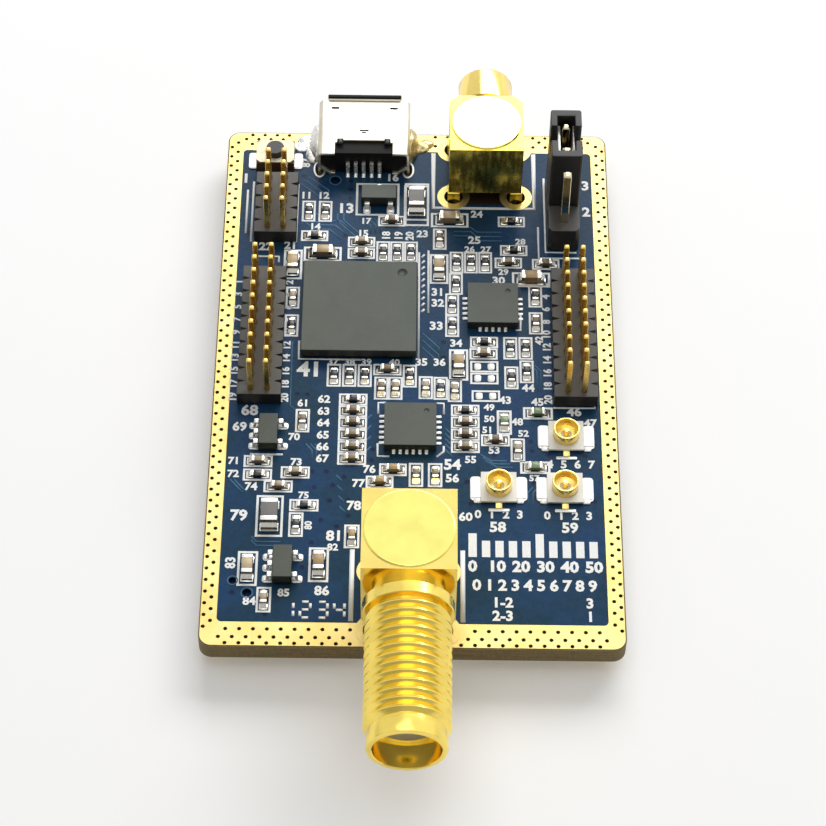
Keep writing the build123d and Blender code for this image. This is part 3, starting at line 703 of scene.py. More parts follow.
def ribbons(name, paths, width, thickness, z):
    """Flat strips along paths of (x, y) points, as one closed mesh about height z."""
    curve = bpy.data.curves.new(name, "CURVE")
    curve.dimensions = "3D"
    curve.twist_mode = "Z_UP"
    curve.extrude = width / 2 * mm
    for path in paths:
        spline = curve.splines.new("POLY")
        spline.points.add(len(path) - 1)
        for point, place in zip(spline.points, path):
            point.co = (*at(place[0], place[1], z), 1)
            point.tilt = math.pi / 2
    piece = bpy.data.objects.new(name, curve)
    link(piece)
    take(piece)
    bpy.ops.object.convert(target="MESH")
    piece = named(name)
    apply_modifier(piece, "SOLIDIFY", thickness=thickness * mm, offset=0.0)
    outward(piece)
    return piece


def number(text, x, y, height=small_digit, turn=0.0, bold=0.05):
    """Plain digits in white print, centred on a place."""
    deselect()
    bpy.ops.object.text_add(location=origin)
    label = bpy.context.active_object
    label.data.body = text
    label.data.size = height * digit_size * mm
    label.data.align_x = "CENTER"
    label.data.align_y = "CENTER"
    label.data.offset = bold * height * mm
    label.data.extrude = print_t / 2 * mm
    label.data.resolution_u = 2
    bpy.ops.object.convert(target="MESH")
    label = named("number")
    settle(label)
    label.data.transform(move(x, y, print_t / 2, turn))
    return label


def frame_line(name, width, length, line):
    """A rectangular outline of print around the middle of the board, to be copied."""
    deselect()
    bpy.ops.mesh.primitive_plane_add(size=1, location=origin)
    piece = named(name)
    piece.scale = (width * mm, length * mm, 1)
    settle(piece)
    edit(piece)
    pick_all()
    bpy.ops.mesh.inset(thickness=line * mm)
    bpy.ops.mesh.delete(type="FACE")
    pick_all()
    pull(print_t)
    face_outward()
    done()
    return piece


# ---------------------------------------------------------------- circuit board

via_r = 0.155
via_pitch = 1.01
side_rows = (0.32, 0.82)          # inset of each row of holes from the board's edge
back_rows = (0.30, 0.76, 1.30)
front_rows = (0.30, 0.82, 1.50)
side_ends = 2.0                   # length that the side rows leave to the other rows
end_reach = 0.9                   # from the board's corner to the middle of an end row's last hole
end_clear = 1.1
clear_of_legs = 1.45
socket_zone = (0.9, 0.7, 20.0)    # no stitching left or right of the socket, behind this y
leg_ring = (0.76, 1.32)           # inner and outer radius of the plating around a leg
hole_ring_w = 0.09
ring_t = 0.025
filled_r = 0.21                   # filled vias: radius, then width and height of the rim
filled_rim = 0.06
filled_t = 0.008
lining_rim = 0.07                 # lacquer in the test holes: rim at the face, and depth
lining_depth = 0.35
track_w = 0.13
track_t = 0.012


def leg_places():
    """Middles of the thick connector legs, read from their solder."""
    thick = 2.2
    return [middle(box) for box in islands("solder_joints") if wide(box) > thick]


def near_socket(x, y):
    low, high = box_mm("usb_solder")
    left, right, front = socket_zone
    return low.x - left < x < high.x + right and y > front


def stitch_rows():
    """Places of the small holes that stitch the border's two faces together."""
    places = []
    count = int((board_high.y - board_low.y - side_ends) / via_pitch)
    for k, inset in enumerate(side_rows):
        for side in (-1, 1):
            for n in range(count):
                y = (n - (count - 1) / 2 + k / 2) * via_pitch
                places.append((side * (board_high.x - inset), y))
    count = int(2 * (board_high.x - end_reach) / via_pitch)
    for rows, end in ((back_rows, 1), (front_rows, -1)):
        for k, inset in enumerate(rows):
            for n in range(count + 1):
                x = (n - count / 2 + k / 2) * via_pitch
                if abs(x) < board_high.x - end_clear:
                    places.append((x, end * (board_high.y - inset)))
    legs = leg_places()
    return [(x, y) for x, y in places if not near_socket(x, y)
            and all(math.hypot(x - leg.x, y - leg.y) > clear_of_legs for leg in legs)]


signal_vias = [(-6.65, -9.4), (-7.75, -9.4), (-5.3, -9.85), (-6.15, -10.65), (-7.55, -10.85),
               (-6.35, -12.05), (-4.95, -12.0), (-6.95, -13.8), (-4.9, -13.4), (-5.75, -14.4),
               (-7.6, -15.85), (-8.25, -18.05), (-3.2, -7.3), (-3.25, -8.3), (9.0, -7.3),
               (9.2, -11.6), (8.9, -6.4), (13.6, -11.9), (4.3, -12.2), (13.7, -6.6), (4.0, -10.2),
               (9.1, -10.2), (-9.3, 20.1), (-5.4, 19.7), (-5.4, 18.8), (-5.4, 17.75), (-5.7, 13.8),
               (0.3, 14.6), (5.2, 13.9), (-9.1, -2.1), (-8.3, -2.15), (-13.3, -20.3),
               (2.2, 3.1), (2.2, 1.6), (6.1, -7.7), (10.2, -7.6), (13.0, -7.7), (-10.8, -22.1)]
test_holes = [(-13.3, -19.25, 0.33), (-12.2, -20.3, 0.38), (-6.67, 19.73, 0.42)]


def drill_cutter(name, holes):
    """One mesh of round drills through the whole board, from (x, y, radius)."""
    past = 0.5
    drill = disc("drill", 0, 0, bottom_z - past, 1.0, sides=12, depth=2 * past - bottom_z)
    drills = [copied(drill, name, move(x, y) @ stretch(radius, radius)) for x, y, radius in holes]
    discard(drill)
    return joined(name, drills)


def drilled_copy(node, name, *cutters):
    piece = merged_copy(node, name)
    for cutter in cutters:
        cut(piece, cutter)
    return piece


def make_board():
    """The laminate, its plated borders and its blue fields, all with their small holes."""
    stitches = drill_cutter("stitch_drills", [(x, y, via_r) for x, y in stitch_rows()])
    holes = drill_cutter("test_drills", test_holes)
    plate = drilled_copy("board_laminate", "circuit_board", stitches, holes)
    dress(plate, "edge_laminate", "board_laminate")
    for face in ("top", "bottom"):
        foil = drilled_copy("border_foil_" + face, "gold_border_" + face, stitches)
        dress(foil, "plated_border", "border_foil_" + face)
        mask = drilled_copy("solder_mask_" + face, "blue_field_" + face, holes)
        dress(mask, "blue_mask", "solder_mask_" + face)
    discard(stitches, holes)


def ring(x, y, inner, outer, steps=32):
    """A flat plated ring on the board."""
    profile = [(inner, 0), (outer, 0), (outer, ring_t), (inner, ring_t), (inner, 0)]
    return turned("ring", profile, (x, y, 0), steps)


def make_pad_rings():
    """Plated rings around the legs of both coaxial connectors and the test holes."""
    rings = [ring(leg.x, leg.y, *leg_ring) for leg in leg_places()]
    dress(joined("leg_rings", rings), "plated_border")
    rings = [ring(x, y, r, r + hole_ring_w, steps=20) for x, y, r in test_holes]
    dress(joined("test_hole_rings", rings), "trace_mask")


def make_signal_vias():
    """Small vias filled with lacquer: dark round dimples in the blue field."""
    dimple = disc("dimple", 0, 0, 0, filled_r, sides=14)
    edit(dimple)
    pick_all()
    pull(filled_t)
    bpy.ops.mesh.inset(thickness=filled_rim * mm, depth=-filled_t / 2 * mm)
    done()
    outward(dimple)
    vias = [copied(dimple, "via", move(x, y, 0.0)) for x, y in signal_vias]
    discard(dimple)
    dress(joined("signal_vias", vias), "via_mask")


def make_hole_linings():
    """Dark lacquer run into the test holes: a ring at the face and a cup below it."""
    below = 0.5
    above = 0.015
    cups = []
    for x, y, radius in test_holes:
        cup = disc("cup", x, y, -below, radius + 0.01, 16, below + above)
        edit(cup)
        pick_faces(cup, lambda centre, normal: normal.z > 0.9)
        bpy.ops.mesh.inset(thickness=lining_rim * mm)
        pull(-lining_depth)
        done()
        outward(cup)
        cups.append(cup)
    dress(joined("hole_linings", cups), "via_mask")


# Bundles of parallel tracks: first start, run of moves, number of tracks, step between starts.
track_bundles = [
    ((-9.2, 15.4), [(1.0, -0.9), (1.2, 0), (0.9, -1.0)], 3, (0.45, 0.45)),
    ((-6.4, 16.2), [(0, -0.8), (1.6, -1.7), (0, -0.6)], 2, (0.5, 0.1)),
    ((-9.6, 19.4), [(1.7, -1.4), (0, -0.8)], 3, (0.35, 0.35)),
    ((-9.62, 3.0), [(0, -6.2), (0.5, -0.5)], 1, (0, 0)),
    ((0.55, 4.0), [(1.3, -1.4), (0, -0.6)], 3, (-0.02, -0.7)),
    ((1.3, 15.0), [(-0.9, -0.9), (0, -2.2)], 4, (-0.35, 0.1)),
    ((3.0, 14.9), [(1.4, 0), (0.5, -0.5), (2.0, 0)], 3, (0, -0.45)),
    ((-4.3, 15.6), [(0.6, -0.6), (0, -0.9)], 3, (0.4, 0.05)),
    ((2.35, -5.2), [(0.6, -0.7)], 5, (0, -0.5)),
    ((-3.3, -4.0), [(-0.35, -0.4), (0, -0.8)], 4, (0, -1.0)),
    ((-13.9, -10.2), [(1.0, -1.2)], 2, (0.3, 0.0)),
    ((-8.3, -6.8), [(0.5, -0.6), (0, -0.8)], 3, (0.35, 0.0)),
    ((-5.9, -9.7), [(0.45, -0.5)], 4, (0.1, -0.95)),
    ((-12.1, -15.3), [(0.4, -0.5), (1.8, 0)], 2, (0, -0.35)),
    ((-13.6, 18.0), [(0, -4.2)], 2, (0.28, 0)),
    ((8.6, -12.3), [(0, 1.2), (0.4, 0.5)], 2, (0.4, 0)),
    ((5.0, -7.6), [(0.9, -0.6), (1.2, 0)], 3, (0.2, -0.3)),
    ((9.0, 1.0), [(0.5, -0.6), (0, -2.0)], 2, (0.3, 0)),
]


def bundle(start, run, count, spread):
    """Parallel tracks: the same run of moves from starts that lie a spread apart."""
    paths = []
    for k in range(count):
        x = start[0] + k * spread[0]
        y = start[1] + k * spread[1]
        path = [(x, y)]
        for dx, dy in run:
            x += dx
            y += dy
            path.append((x, y))
        paths.append(path)
    return paths


def make_tracks():
    """Copper tracks under the lacquer, seen as paler lines."""
    paths = [path for row in track_bundles for path in bundle(*row)]
    dress(ribbons("tracks", paths, track_w, track_t, track_t / 2), "trace_mask")


# ---------------------------------------------------------------- chips on the board

families = {
    # family: print frame's width, length and line, ceramic finish
    "small_capacitor": (2.2, 1.1, 0.16, "brown_ceramic"),
    "small_resistor": (2.2, 1.1, 0.16, "black_glaze"),
    "large_capacitor": (3.05, 1.5, 0.18, "tan_ceramic"),
    "ferrite": (3.75, 2.05, 0.18, "ferrite_grey"),
    "diode": (2.3, 1.15, 0.18, "green_glass"),
    "inductor": (2.1, 1.15, 0.16, "tan_ceramic"),
}
chip_slots = {"inductor": "white_ceramic"}
ceramic_in = 0.03         # the ceramic stands back from the ends' top and bottom
cap_over = 0.02           # the ends stand out past the ceramic's sides
foot_share = 0.62         # height of the solder slope over the chip's
foot_in = 0.03            # the slope starts inside the end and reaches past it
foot_out = 0.27
pad_in = 0.02
pad_out = 0.36
pad_over = 0.07
pad_t = 0.03


def chip_places(family):
    """Each chip's middle and turn, and how far its nearest end lies from its middle."""
    ends = [middle(box) for box in islands(family + "_ends")]
    places = []
    for box in islands(family + "_bodies"):
        spot = middle(box)
        nearest = min(ends, key=lambda end: (end - spot).length)
        upright = abs(nearest.y - spot.y) > abs(nearest.x - spot.x)
        places.append((spot, 90.0 if upright else 0.0, (nearest - spot).length))
    return places


def chip_sizes(family):
    """Length, width, height and end length of a chip, from its CAD solids."""
    body = islands(family + "_bodies")[0]
    end = islands(family + "_ends")[0]
    turn, reach = chip_places(family)[0][1:]
    width = wide(body) if turn else wide(body, 1)
    end_l = min(wide(end), wide(end, 1))
    return 2 * reach + end_l, width, end[1].z, end_l


def across(name, x0, x1, half_w, low_z, high_z):
    """A block across the chip's middle line, between two places along it in any order."""
    low_x, high_x = sorted((x0, x1))
    return block(name, (low_x, -half_w, low_z), (high_x, half_w, high_z))


def chip_body(length, width, height, end):
    """The ceramic between the ends, made at the board's middle and lying along X."""
    reach = length / 2 - end * 0.6
    body = across("ceramic", -reach, reach, width / 2, ceramic_in, height - ceramic_in)
    soften(body, 0.03, 1)
    return body


def chip_end(length, width, height, end, side):
    """A tinned cap with its pad and the solder that climbs it."""
    inner = side * (length / 2 - end)
    outer = side * length / 2
    cap = across("cap", inner, outer, width / 2 + cap_over, 0.01, height)
    soften(cap, 0.06, 2)
    foot = across("foot", outer - side * foot_in, outer + side * foot_out, width / 2, 0.0,
                  height * foot_share)
    edit(foot, "EDGE")
    top = height * foot_share - 0.01
    reach = length / 2 + foot_out - 0.01
    pick_edges(foot, lambda a, b: min(a.z, b.z) > top and min(side * a.x, side * b.x) > reach)
    bpy.ops.mesh.bevel(offset=0.24 * mm, segments=3, profile=0.25, clamp_overlap=True)
    done()
    pad = across("chip_pad", inner + side * pad_in, outer + side * pad_out, width / 2 + pad_over,
                 0.0, pad_t)
    soften(pad, 0.012, 1)
    return joined("chip_end", [cap, foot, pad])


def make_chips(family):
    """All chips of a family. The print around them is given back, to be joined to the rest."""
    frame_w, frame_l, line, finish = families[family]
    sizes = chip_sizes(family)
    body = chip_body(*sizes)
    ends = joined("ends", [chip_end(*sizes, side) for side in (-1, 1)])
    outline = frame_line("outline", frame_w, frame_l, line)
    bodies = []
    pairs = []
    outlines = []
    for k, (spot, turn, reach) in enumerate(chip_places(family)):
        place = move(spot.x, spot.y, 0, turn)
        bodies.append(copied(body, "ceramic", place))
        pairs.append(copied(ends, "pair", place))
        outlines.append(copied(outline, "outline", move(spot.x, spot.y, 0.003 * (k % 3), turn)))
    discard(body, ends, outline)
    dress(joined(family + "_ceramics", bodies), finish, family + "_bodies",
          slot=chip_slots.get(family))
    dress(joined(family + "_tinned_ends", pairs), "chip_end", family + "_ends")
    return outlines


# ---------------------------------------------------------------- white print

# Places of the small numbers beside the parts: x, y, and height and turn where they differ.
number_places = [
    (-9.0, 18.05), (-7.6, 18.05), (-5.75, 16.7, 1.0), (-8.2, 14.75, 0.65), (-4.3, 14.1, 0.65),
    (-2.0, 20.05, 0.75), (-4.1, 15.4, 0.6), (-2.4, 13.9, 0.65, 90), (-1.4, 13.9, 0.65, 90),
    (-0.5, 13.9, 0.65, 90), (-10.1, 12.75, 0.75), (-12.1, 12.6, 0.8), (0.5, 14.1), (4.9, 16.25),
    (4.7, 13.5, 0.75), (4.3, 12.55, 0.6), (5.6, 12.55, 0.6), (8.4, 13.4, 0.6), (7.0, 10.25, 0.6),
    (6.6, 9.35, 0.75), (1.75, 8.1, 0.75), (1.75, 7.0, 0.75), (1.65, 4.7, 0.8), (3.2, 3.0),
    (0.5, 1.1), (1.9, 1.1), (-6.4, 1.05, 0.6), (-5.1, 1.05, 0.6), (-3.8, 1.05, 0.6),
    (-1.6, 1.05, 0.6), (-8.2, 0.25, 1.4), (9.75, 3.4, 0.6, 90), (7.0, -2.5), (8.8, -1.3),
    (9.5, -2.65), (12.3, -3.55, 0.8), (13.5, -4.6), (7.9, -4.55, 0.65), (5.75, -3.2, 0.6),
    (5.75, -4.3, 0.6), (5.6, -5.35, 0.6), (8.35, -5.65, 0.6), (6.1, -7.25, 0.65),
    (2.9, -8.65, 0.95), (4.3, -8.15, 0.65), (2.9, -9.9, 0.75), (9.1, -9.8, 0.55),
    (6.3, -14.3, 0.9), (11.7, -14.3, 0.9), (3.9, -13.4, 0.75), (-8.6, -3.0, 0.65), (-7.0, -2.6),
    (-7.0, -3.75), (-7.0, -4.85), (-7.0, -6.0), (-7.0, -7.1), (-7.0, -8.2), (-12.7, -3.75, 0.95),
    (-13.4, -5.3, 0.8), (-9.2, -6.2, 0.65), (-13.7, -8.5, 0.65), (-13.7, -9.7, 0.65),
    (-8.95, -8.55, 0.65), (-12.3, -10.85), (-8.3, -11.6, 0.6), (-3.4, -9.15), (-4.2, -10.45),
    (-4.5, -12.5, 0.8), (-13.1, -13.5, 0.95), (-7.85, -14.3, 0.55, 90), (-5.9, -15.25, 0.9),
    (-6.0, -16.25, 0.6), (-13.5, -17.7, 0.75, 90), (-12.0, -21.05), (-9.5, -20.3, 0.65),
    (-6.7, -20.1, 0.8), (-9.1, 21.6, 0.7, 90)]
numbers_low = 11          # the first of them
panel_numbers = [("0  1  2  3", 6.4, -13.15, 0.72), ("0  1  2  3", 11.6, -13.2, 0.72),
                 ("4  5  6  7", 11.9, -8.5, 0.72), ("1-2", 6.6, -20.95, 0.85),
                 ("3", 13.0, -20.95, 0.85), ("2-3", 6.6, -22.1, 0.85), ("1", 13.0, -22.1, 0.85),
                 ("3", 13.8, 19.4, 0.95), ("2", 13.8, 16.6, 0.95), ("1", -14.0, 19.8, 0.95)]
empty_places = [(5.4, 0.75), (5.4, -0.4), (5.5, -2.1)]
empty_pad = (0.25, 0.8, 0.33)     # its near and far end from the middle, and half its width
empty_frame = (1.1, 0.55)         # half the printed frame around two pads
header_rows = 10                  # pins in a row of the long headers
header_digit = 0.62


def header_numbers(node, x, first):
    """The pin numbers beside one row of a header, one every other pin."""
    low, high = box_mm(node)
    pitch = (high.y - low.y) / header_rows
    return [number(str(first + 2 * k), x, high.y - (k + 0.5) * pitch, header_digit, 90)
            for k in range(header_rows)]


def ruler_scale():
    """A printed scale with bold graduations and plain numbers, in the free corner of the board."""
    left = 4.1
    base = -16.95
    tens_y = -17.8
    ones_y = -19.45
    bar_w = 0.62
    long_bar = 2.1
    short_bar = 1.45
    tall = 0.95
    bars = []
    for k in range(10):
        top = base + (long_bar if k % 5 == 0 else short_bar)
        bars.append(block("bar", (left + k, base, 0), (left + k + bar_w, top, print_t)))
    tens = [number(str(k * 10), left + 0.3 + k * 1.8, tens_y, tall, 0, 0.06) for k in range(6)]
    ones = [number(str(k), left + 0.6 + k * 0.95, ones_y, tall) for k in range(10)]
    return bars + tens + ones


def segment_digits():
    """Four digits drawn with separate strokes, as a display shows them."""
    strokes = {"a": ((0, 2), (1, 2)), "b": ((1, 2), (1, 1)), "c": ((1, 1), (1, 0)),
               "d": ((0, 0), (1, 0)), "e": ((0, 0), (0, 1)), "f": ((0, 1), (0, 2)),
               "g": ((0, 1), (1, 1))}
    shapes = ["bc", "abged", "abgcd", "fgbc"]
    left, base = (-9.5, -22.4)
    wide_cell, tall_cell, pitch = (0.75, 0.68, 1.25)
    paths = []
    for k, shape in enumerate(shapes):
        for letter in shape:
            (x0, y0), (x1, y1) = strokes[letter]
            points = []
            for t in (0.18, 0.82):
                x = x0 + (x1 - x0) * t
                y = y0 + (y1 - y0) * t
                points.append((left + k * pitch + x * wide_cell, base + y * tall_cell))
            paths.append(points)
    return ribbons("segments", paths, 0.2, print_t, print_t / 2)


def outline_box(low_x, low_y, high_x, high_y, line=0.18):
    """A printed outline between two corners."""
    piece = frame_line("outline", high_x - low_x, high_y - low_y, line)
    piece.data.transform(move((low_x + high_x) / 2, (low_y + high_y) / 2, 0.002))
    return piece


def part_lines():
    """Printed lines beside the connectors, headers and larger chips."""
    sma_low, sma_high = box_mm("sma_body")
    mcx_low, mcx_high = box_mm("mcx_body")
    front = mask_low.y + 0.1
    back = mask_high.y - 0.1
    thick = [[(sma_low.x - 0.8, -16.4), (sma_low.x - 0.8, front)],
             [(sma_high.x + 0.6, -16.4), (sma_high.x + 0.6, front)],
             [(mcx_low.x - 1.15, back), (mcx_low.x - 1.15, 16.9), (mcx_high.x + 1.0, 16.9),
              (mcx_high.x + 1.0, back)]]
    lines = [[(10.4, 20.2), (10.4, 12.35), (12.9, 12.35)],
             [(9.85, 15.0), (9.85, 11.75), (13.1, 11.75)],
             [(-13.32, 19.5), (-13.32, 13.1)], [(-9.68, 19.3), (-9.68, 13.1)],
             [(-13.78, 18.6), (-13.78, 14.0)], [(1.0, 12.4), (1.0, 6.0)],
             [(-9.1, 3.1), (-9.1, 1.3), (-4.2, 1.3)], [(0.25, 1.4), (0.25, 12.2)],
             [(-2.8, -3.9), (-2.8, -2.85), (-2.2, -2.85)], [(-2.8, -6.7), (-2.8, -7.9), (-1.9, -7.9)],
             [(1.7, -2.85), (2.25, -2.85), (2.25, -3.9)], [(1.7, -7.9), (2.25, -7.4), (2.25, -6.9)],
             [(8.2, 9.0), (10.0, 9.0)], [(8.3, 5.9), (8.3, 4.4), (7.9, 4.4)],
             [(10.7, -3.15), (13.9, -3.15), (13.9, -2.6)],
             [(-11.0, 11.0), (-11.0, 11.6), (-12.9, 11.6)],
             [(-10.4, 11.2), (-10.4, 10.6)], [(-12.5, -7.85), (-10.0, -7.85)]]
    hatch = [[(0.45, 6.1 + 0.62 * k), (0.7, 6.4 + 0.62 * k)] for k in range(10)]
    return [ribbons("thick_lines", thick, thick_line, print_t, print_t / 2 + 0.002),
            ribbons("thin_lines", lines, thin_line, print_t, print_t / 2 + 0.004),
            ribbons("hatch", hatch, thin_line, print_t, print_t / 2),
            outline_box(-4.95, 16.0, -1.4, 19.45), outline_box(-0.98, 14.95, 1.02, 19.5)]


def make_empty_places():
    """Places for parts that this board was built without: two tinned pads in an outline."""
    near, far, half = empty_pad
    frame_w, frame_l = empty_frame
    pads = []
    outlines = []
    for x, y in empty_places:
        for side in (-1, 1):
            pads.append(flat_pad(x + side * near, y - half, x + side * far, y + half))
        outlines.append(outline_box(x - frame_w, y - frame_l, x + frame_w, y + frame_l, 0.16))
    dress(joined("empty_pads", pads), "white_solder")
    return outlines


def make_print(outlines):
    """All numbers as one piece and all lines as another."""
    numbers = [number(str(numbers_low + k), *place) for k, place in enumerate(number_places)]
    numbers += [number(*row) for row in panel_numbers]
    numbers += header_numbers("right_header_body", 10.35, 2)
    numbers += header_numbers("left_header_body", -10.05, 2)
    numbers += header_numbers("left_header_body", -14.05, 1)
    dress(joined("printed_numbers", numbers + ruler_scale()), "white_print")
    dress(joined("printed_lines", outlines + part_lines() + [segment_digits()]), "white_print")


# ---------------------------------------------------------------- softened metal and moulded parts

softened = {
    # CAD node: new name, softening in mm, finish
    "sma_body": ("elbow_block", 0.10, "connector_gold"),
    "sma_cap": ("elbow_cap", 0.10, "cap_gold"),
    "mcx_body": ("push_jack_block", 0.08, "stained_gold"),
    "mcx_cap": ("push_jack_cap", 0.08, "cap_gold"),
    "usb_shell": ("socket_shell", 0.05, "drawn_steel"),
    "usb_insulator": ("socket_core", 0.04, "core_black"),
    "usb_contacts": ("socket_contacts", 0.02, "tinned_steel"),
    "left_header_body": ("left_header_strip", 0.05, "header_black"),
    "right_header_body": ("right_header_strip", 0.05, "header_black"),
    "debug_header_body": ("debug_header_strip", 0.05, "header_black"),
    "boot_header_body": ("boot_header_strip", 0.07, "header_black"),
    "left_header_pins": ("left_pins", 0.03, "pin_gold"),
    "right_header_pins": ("right_pins", 0.03, "pin_gold"),
    "debug_header_pins": ("debug_pins", 0.03, "pin_gold"),
    "boot_header_pins": ("boot_pins", 0.06, "boot_pin_gold"),
    "shunt_housing": ("shunt_shell", 0.10, "shunt_black"),
    "shunt_clip": ("shunt_spring", 0.03, "clip_bronze"),
    "switch_base": ("switch_case", 0.05, "brown_plastic"),
    "switch_cover": ("switch_plate", 0.03, "pale_cover"),
    "switch_button": ("switch_plunger", 0.06, "button_black"),
    "processor_package": ("processor", 0.05, "chip_epoxy"),
    "tuner_package": ("tuner", 0.03, "chip_epoxy"),
    "clock_package": ("clock", 0.03, "chip_epoxy"),
    "small_package_bodies": ("small_packages", 0.04, "chip_epoxy"),
    "small_package_leads": ("small_leads", 0.02, "solder"),
    "coax_bases": ("micro_jack_bases", 0.05, "white_core"),
    "coax_pins": ("micro_jack_pins", 0.06, "ring_gold"),
}
rides = {"shunt_housing": "shunt", "shunt_clip": "shunt", "switch_button": "button"}

dimples = {
    # package: middle of its first-lead mark from the package's rear right corner, and radius
    "processor_package": (1.15, 1.15, 0.40),
    "tuner_package": (0.75, 0.75, 0.22),
    "clock_package": (0.80, 0.80, 0.22),
}
dimple_depth = 0.05


def sink_dimple(piece, node):
    """The shallow round mark beside the first lead of a chip."""
    high = box_mm(node)[1]
    in_x, in_y, radius = dimples[node]
    floor = high.z - dimple_depth
    bit = disc("dimple_bit", high.x - in_x, high.y - in_y, floor, radius, 24, 1.0)
    cut(piece, bit)
    flatten_shade(piece)
    discard(bit)


def make_softened():
    """Copies of the plain CAD nodes with their edges rounded."""
    for node, (name, width, finish) in softened.items():
        piece = merged_copy(node, name)
        soften(piece, width)
        if node in dimples:
            sink_dimple(piece, node)
        dress(piece, finish, node, body=rides.get(node, "root"))


# ---------------------------------------------------------------- solder and small metal

# Lumps of solder and of flux beside the socket: how far out from its side and in from the
# board's edge, their reach along X, Y and Z, and how uneven their skin is.
solder_lumps = [(0.05, 1.3, 0.75, 1.8, 1.2, 0.3), (0.8, 1.0, 1.0, 0.75, 0.30, 0.25),
                (1.4, 1.5, 0.8, 0.6, 0.22, 0.2), (0.5, 2.5, 0.6, 0.8, 0.35, 0.25)]
flux_lumps = [(0.05, 1.5, 0.65, 1.7, 1.3, 0.3), (0.7, 1.5, 0.9, 0.65, 0.30, 0.25),
              (1.4, 1.1, 0.6, 0.5, 0.18, 0.2)]
core_bay = 1.93           # from the socket's middle to the small bays at its mouth
slot_half = (0.52, 0.9)   # the oval slots of the socket's tabs, with their solder
skin_grain = 0.6          # size of the unevenness of a lump


def flat_pad(x0, y0, x1, y1, height=0.05, round_off=0.02):
    """A tinned pad or solder bar lying on the board between two corners, in any order."""
    low_x, high_x = sorted((x0, x1))
    low_y, high_y = sorted((y0, y1))
    pad = block("pad", (low_x, low_y, 0.0), (high_x, high_y, height))
    edit(pad, "EDGE")
    pick_edges(pad, lambda a, b: abs(a.z - b.z) > height / 2)
    bpy.ops.mesh.bevel(offset=0.3 * min(high_x - low_x, high_y - low_y) * mm, segments=3)
    done()
    soften(pad, min(round_off, height / 3), 1)
    return pad


def slab(x, y, width, length, low_z, high_z, round_off=0.02, segments=1):
    """A small softened block about a place on the board."""
    half = Vector((width / 2, length / 2))
    piece = block("slab", (x - half.x, y - half.y, low_z), (x + half.x, y + half.y, high_z))
    soften(piece, round_off, segments)
    return piece


def solder_blob(x, y, wide_x, wide_y, tall, lumps):
    """A lump of solder with an uneven skin, cut flat where it meets the board."""
    deselect()
    bpy.ops.mesh.primitive_ico_sphere_add(subdivisions=4, radius=mm, location=at(x, y))
    blob = named("blob")
    blob.scale = (wide_x, wide_y, tall)
    settle(blob)
    cloud = bpy.data.textures.new("skin", "CLOUDS")
    cloud.noise_scale = skin_grain * mm
    apply_modifier(blob, "DISPLACE", texture=cloud, strength=lumps * mm, mid_level=0.5,
                   texture_coords="LOCAL")
    edit(blob, "VERT")
    pick_all()
    bpy.ops.mesh.bisect(plane_co=origin, plane_no=(0, 0, 1), clear_inner=True, use_fill=True)
    done()
    smooth_below(blob, 50)
    return blob


def oval_ring(x, y):
    """A ring of solder around the oval slot of a tab."""
    wall = 0.17
    piece = disc("oval", 0, 0, 0, 1.0, sides=28)
    piece.data.transform(move(x, y) @ stretch(*slot_half))
    edit(piece)
    pick_all()
    bpy.ops.mesh.inset(thickness=wall * mm)
    bpy.ops.mesh.delete(type="FACE")
    pick_all()
    pull(0.10)
    done()
    outward(piece)
    soften(piece, wall * 0.3, 2)
    return piece


def flank(side_x, side, lumps):
    """The lumps along one side of the socket."""
    return [solder_blob(side_x + side * out, board_high.y - inward, *shape)
            for out, inward, *shape in lumps]


def make_socket_solder():
    """Solder along the socket's flanks, and rings where its tabs pass through the board."""
    low, high = box_mm("usb_shell")
    dress(joined("socket_solder", flank(low.x, -1, solder_lumps)), "solder", "usb_solder")
    dress(joined("socket_flux", flank(high.x, 1, flux_lumps)), "flux_brown")
    rings = [oval_ring(x, low.y + 0.55) for x in (low.x + 0.12, high.x - 0.12)]
    dress(joined("slot_rings", rings), "white_solder")


def make_shell_marks():
    """The dark inside of the shell's small cut-outs, the core's lugs, and a dark strip at the fold of
    the lip as painted shade.
    """
    low, high = box_mm("usb_shell")
    centre = (low.x + high.x) / 2
    top = high.z - 0.3
    holes = [(centre - 2.42, 25.35, 0.66, 0.22), (centre + 2.42, 25.35, 0.66, 0.22),
             (centre, 22.9, 0.75, 0.16), (centre, 22.68, 0.36, 0.14),
             (centre - core_bay, 21.70, 0.52, 0.60), (centre + core_bay, 21.70, 0.52, 0.60)]
    marks = [slab(*hole, top - 0.05, top + 0.03) for hole in holes]
    dress(joined("shell_marks", marks), "core_black", slot="tinned_steel")
    lugs = [slab(centre + side * core_bay, 21.71, 0.28, 0.38, top - 0.05, top + 0.06, 0.03)
            for side in (-1, 1)]
    dress(joined("core_lugs", lugs), "chip_epoxy", slot="black_plastic")
    # Painted shade: a dark strip stands for the shaded, flared fold of the lip.
    shade_strip_l = 0.28
    lip = slab(centre, high.y - shade_strip_l / 2, 6.0, shade_strip_l, high.z - 0.22, high.z + 0.02, 0.04, 2)
    dress(joined("lip_shade_strip", [lip]), "core_black", slot="tinned_steel")


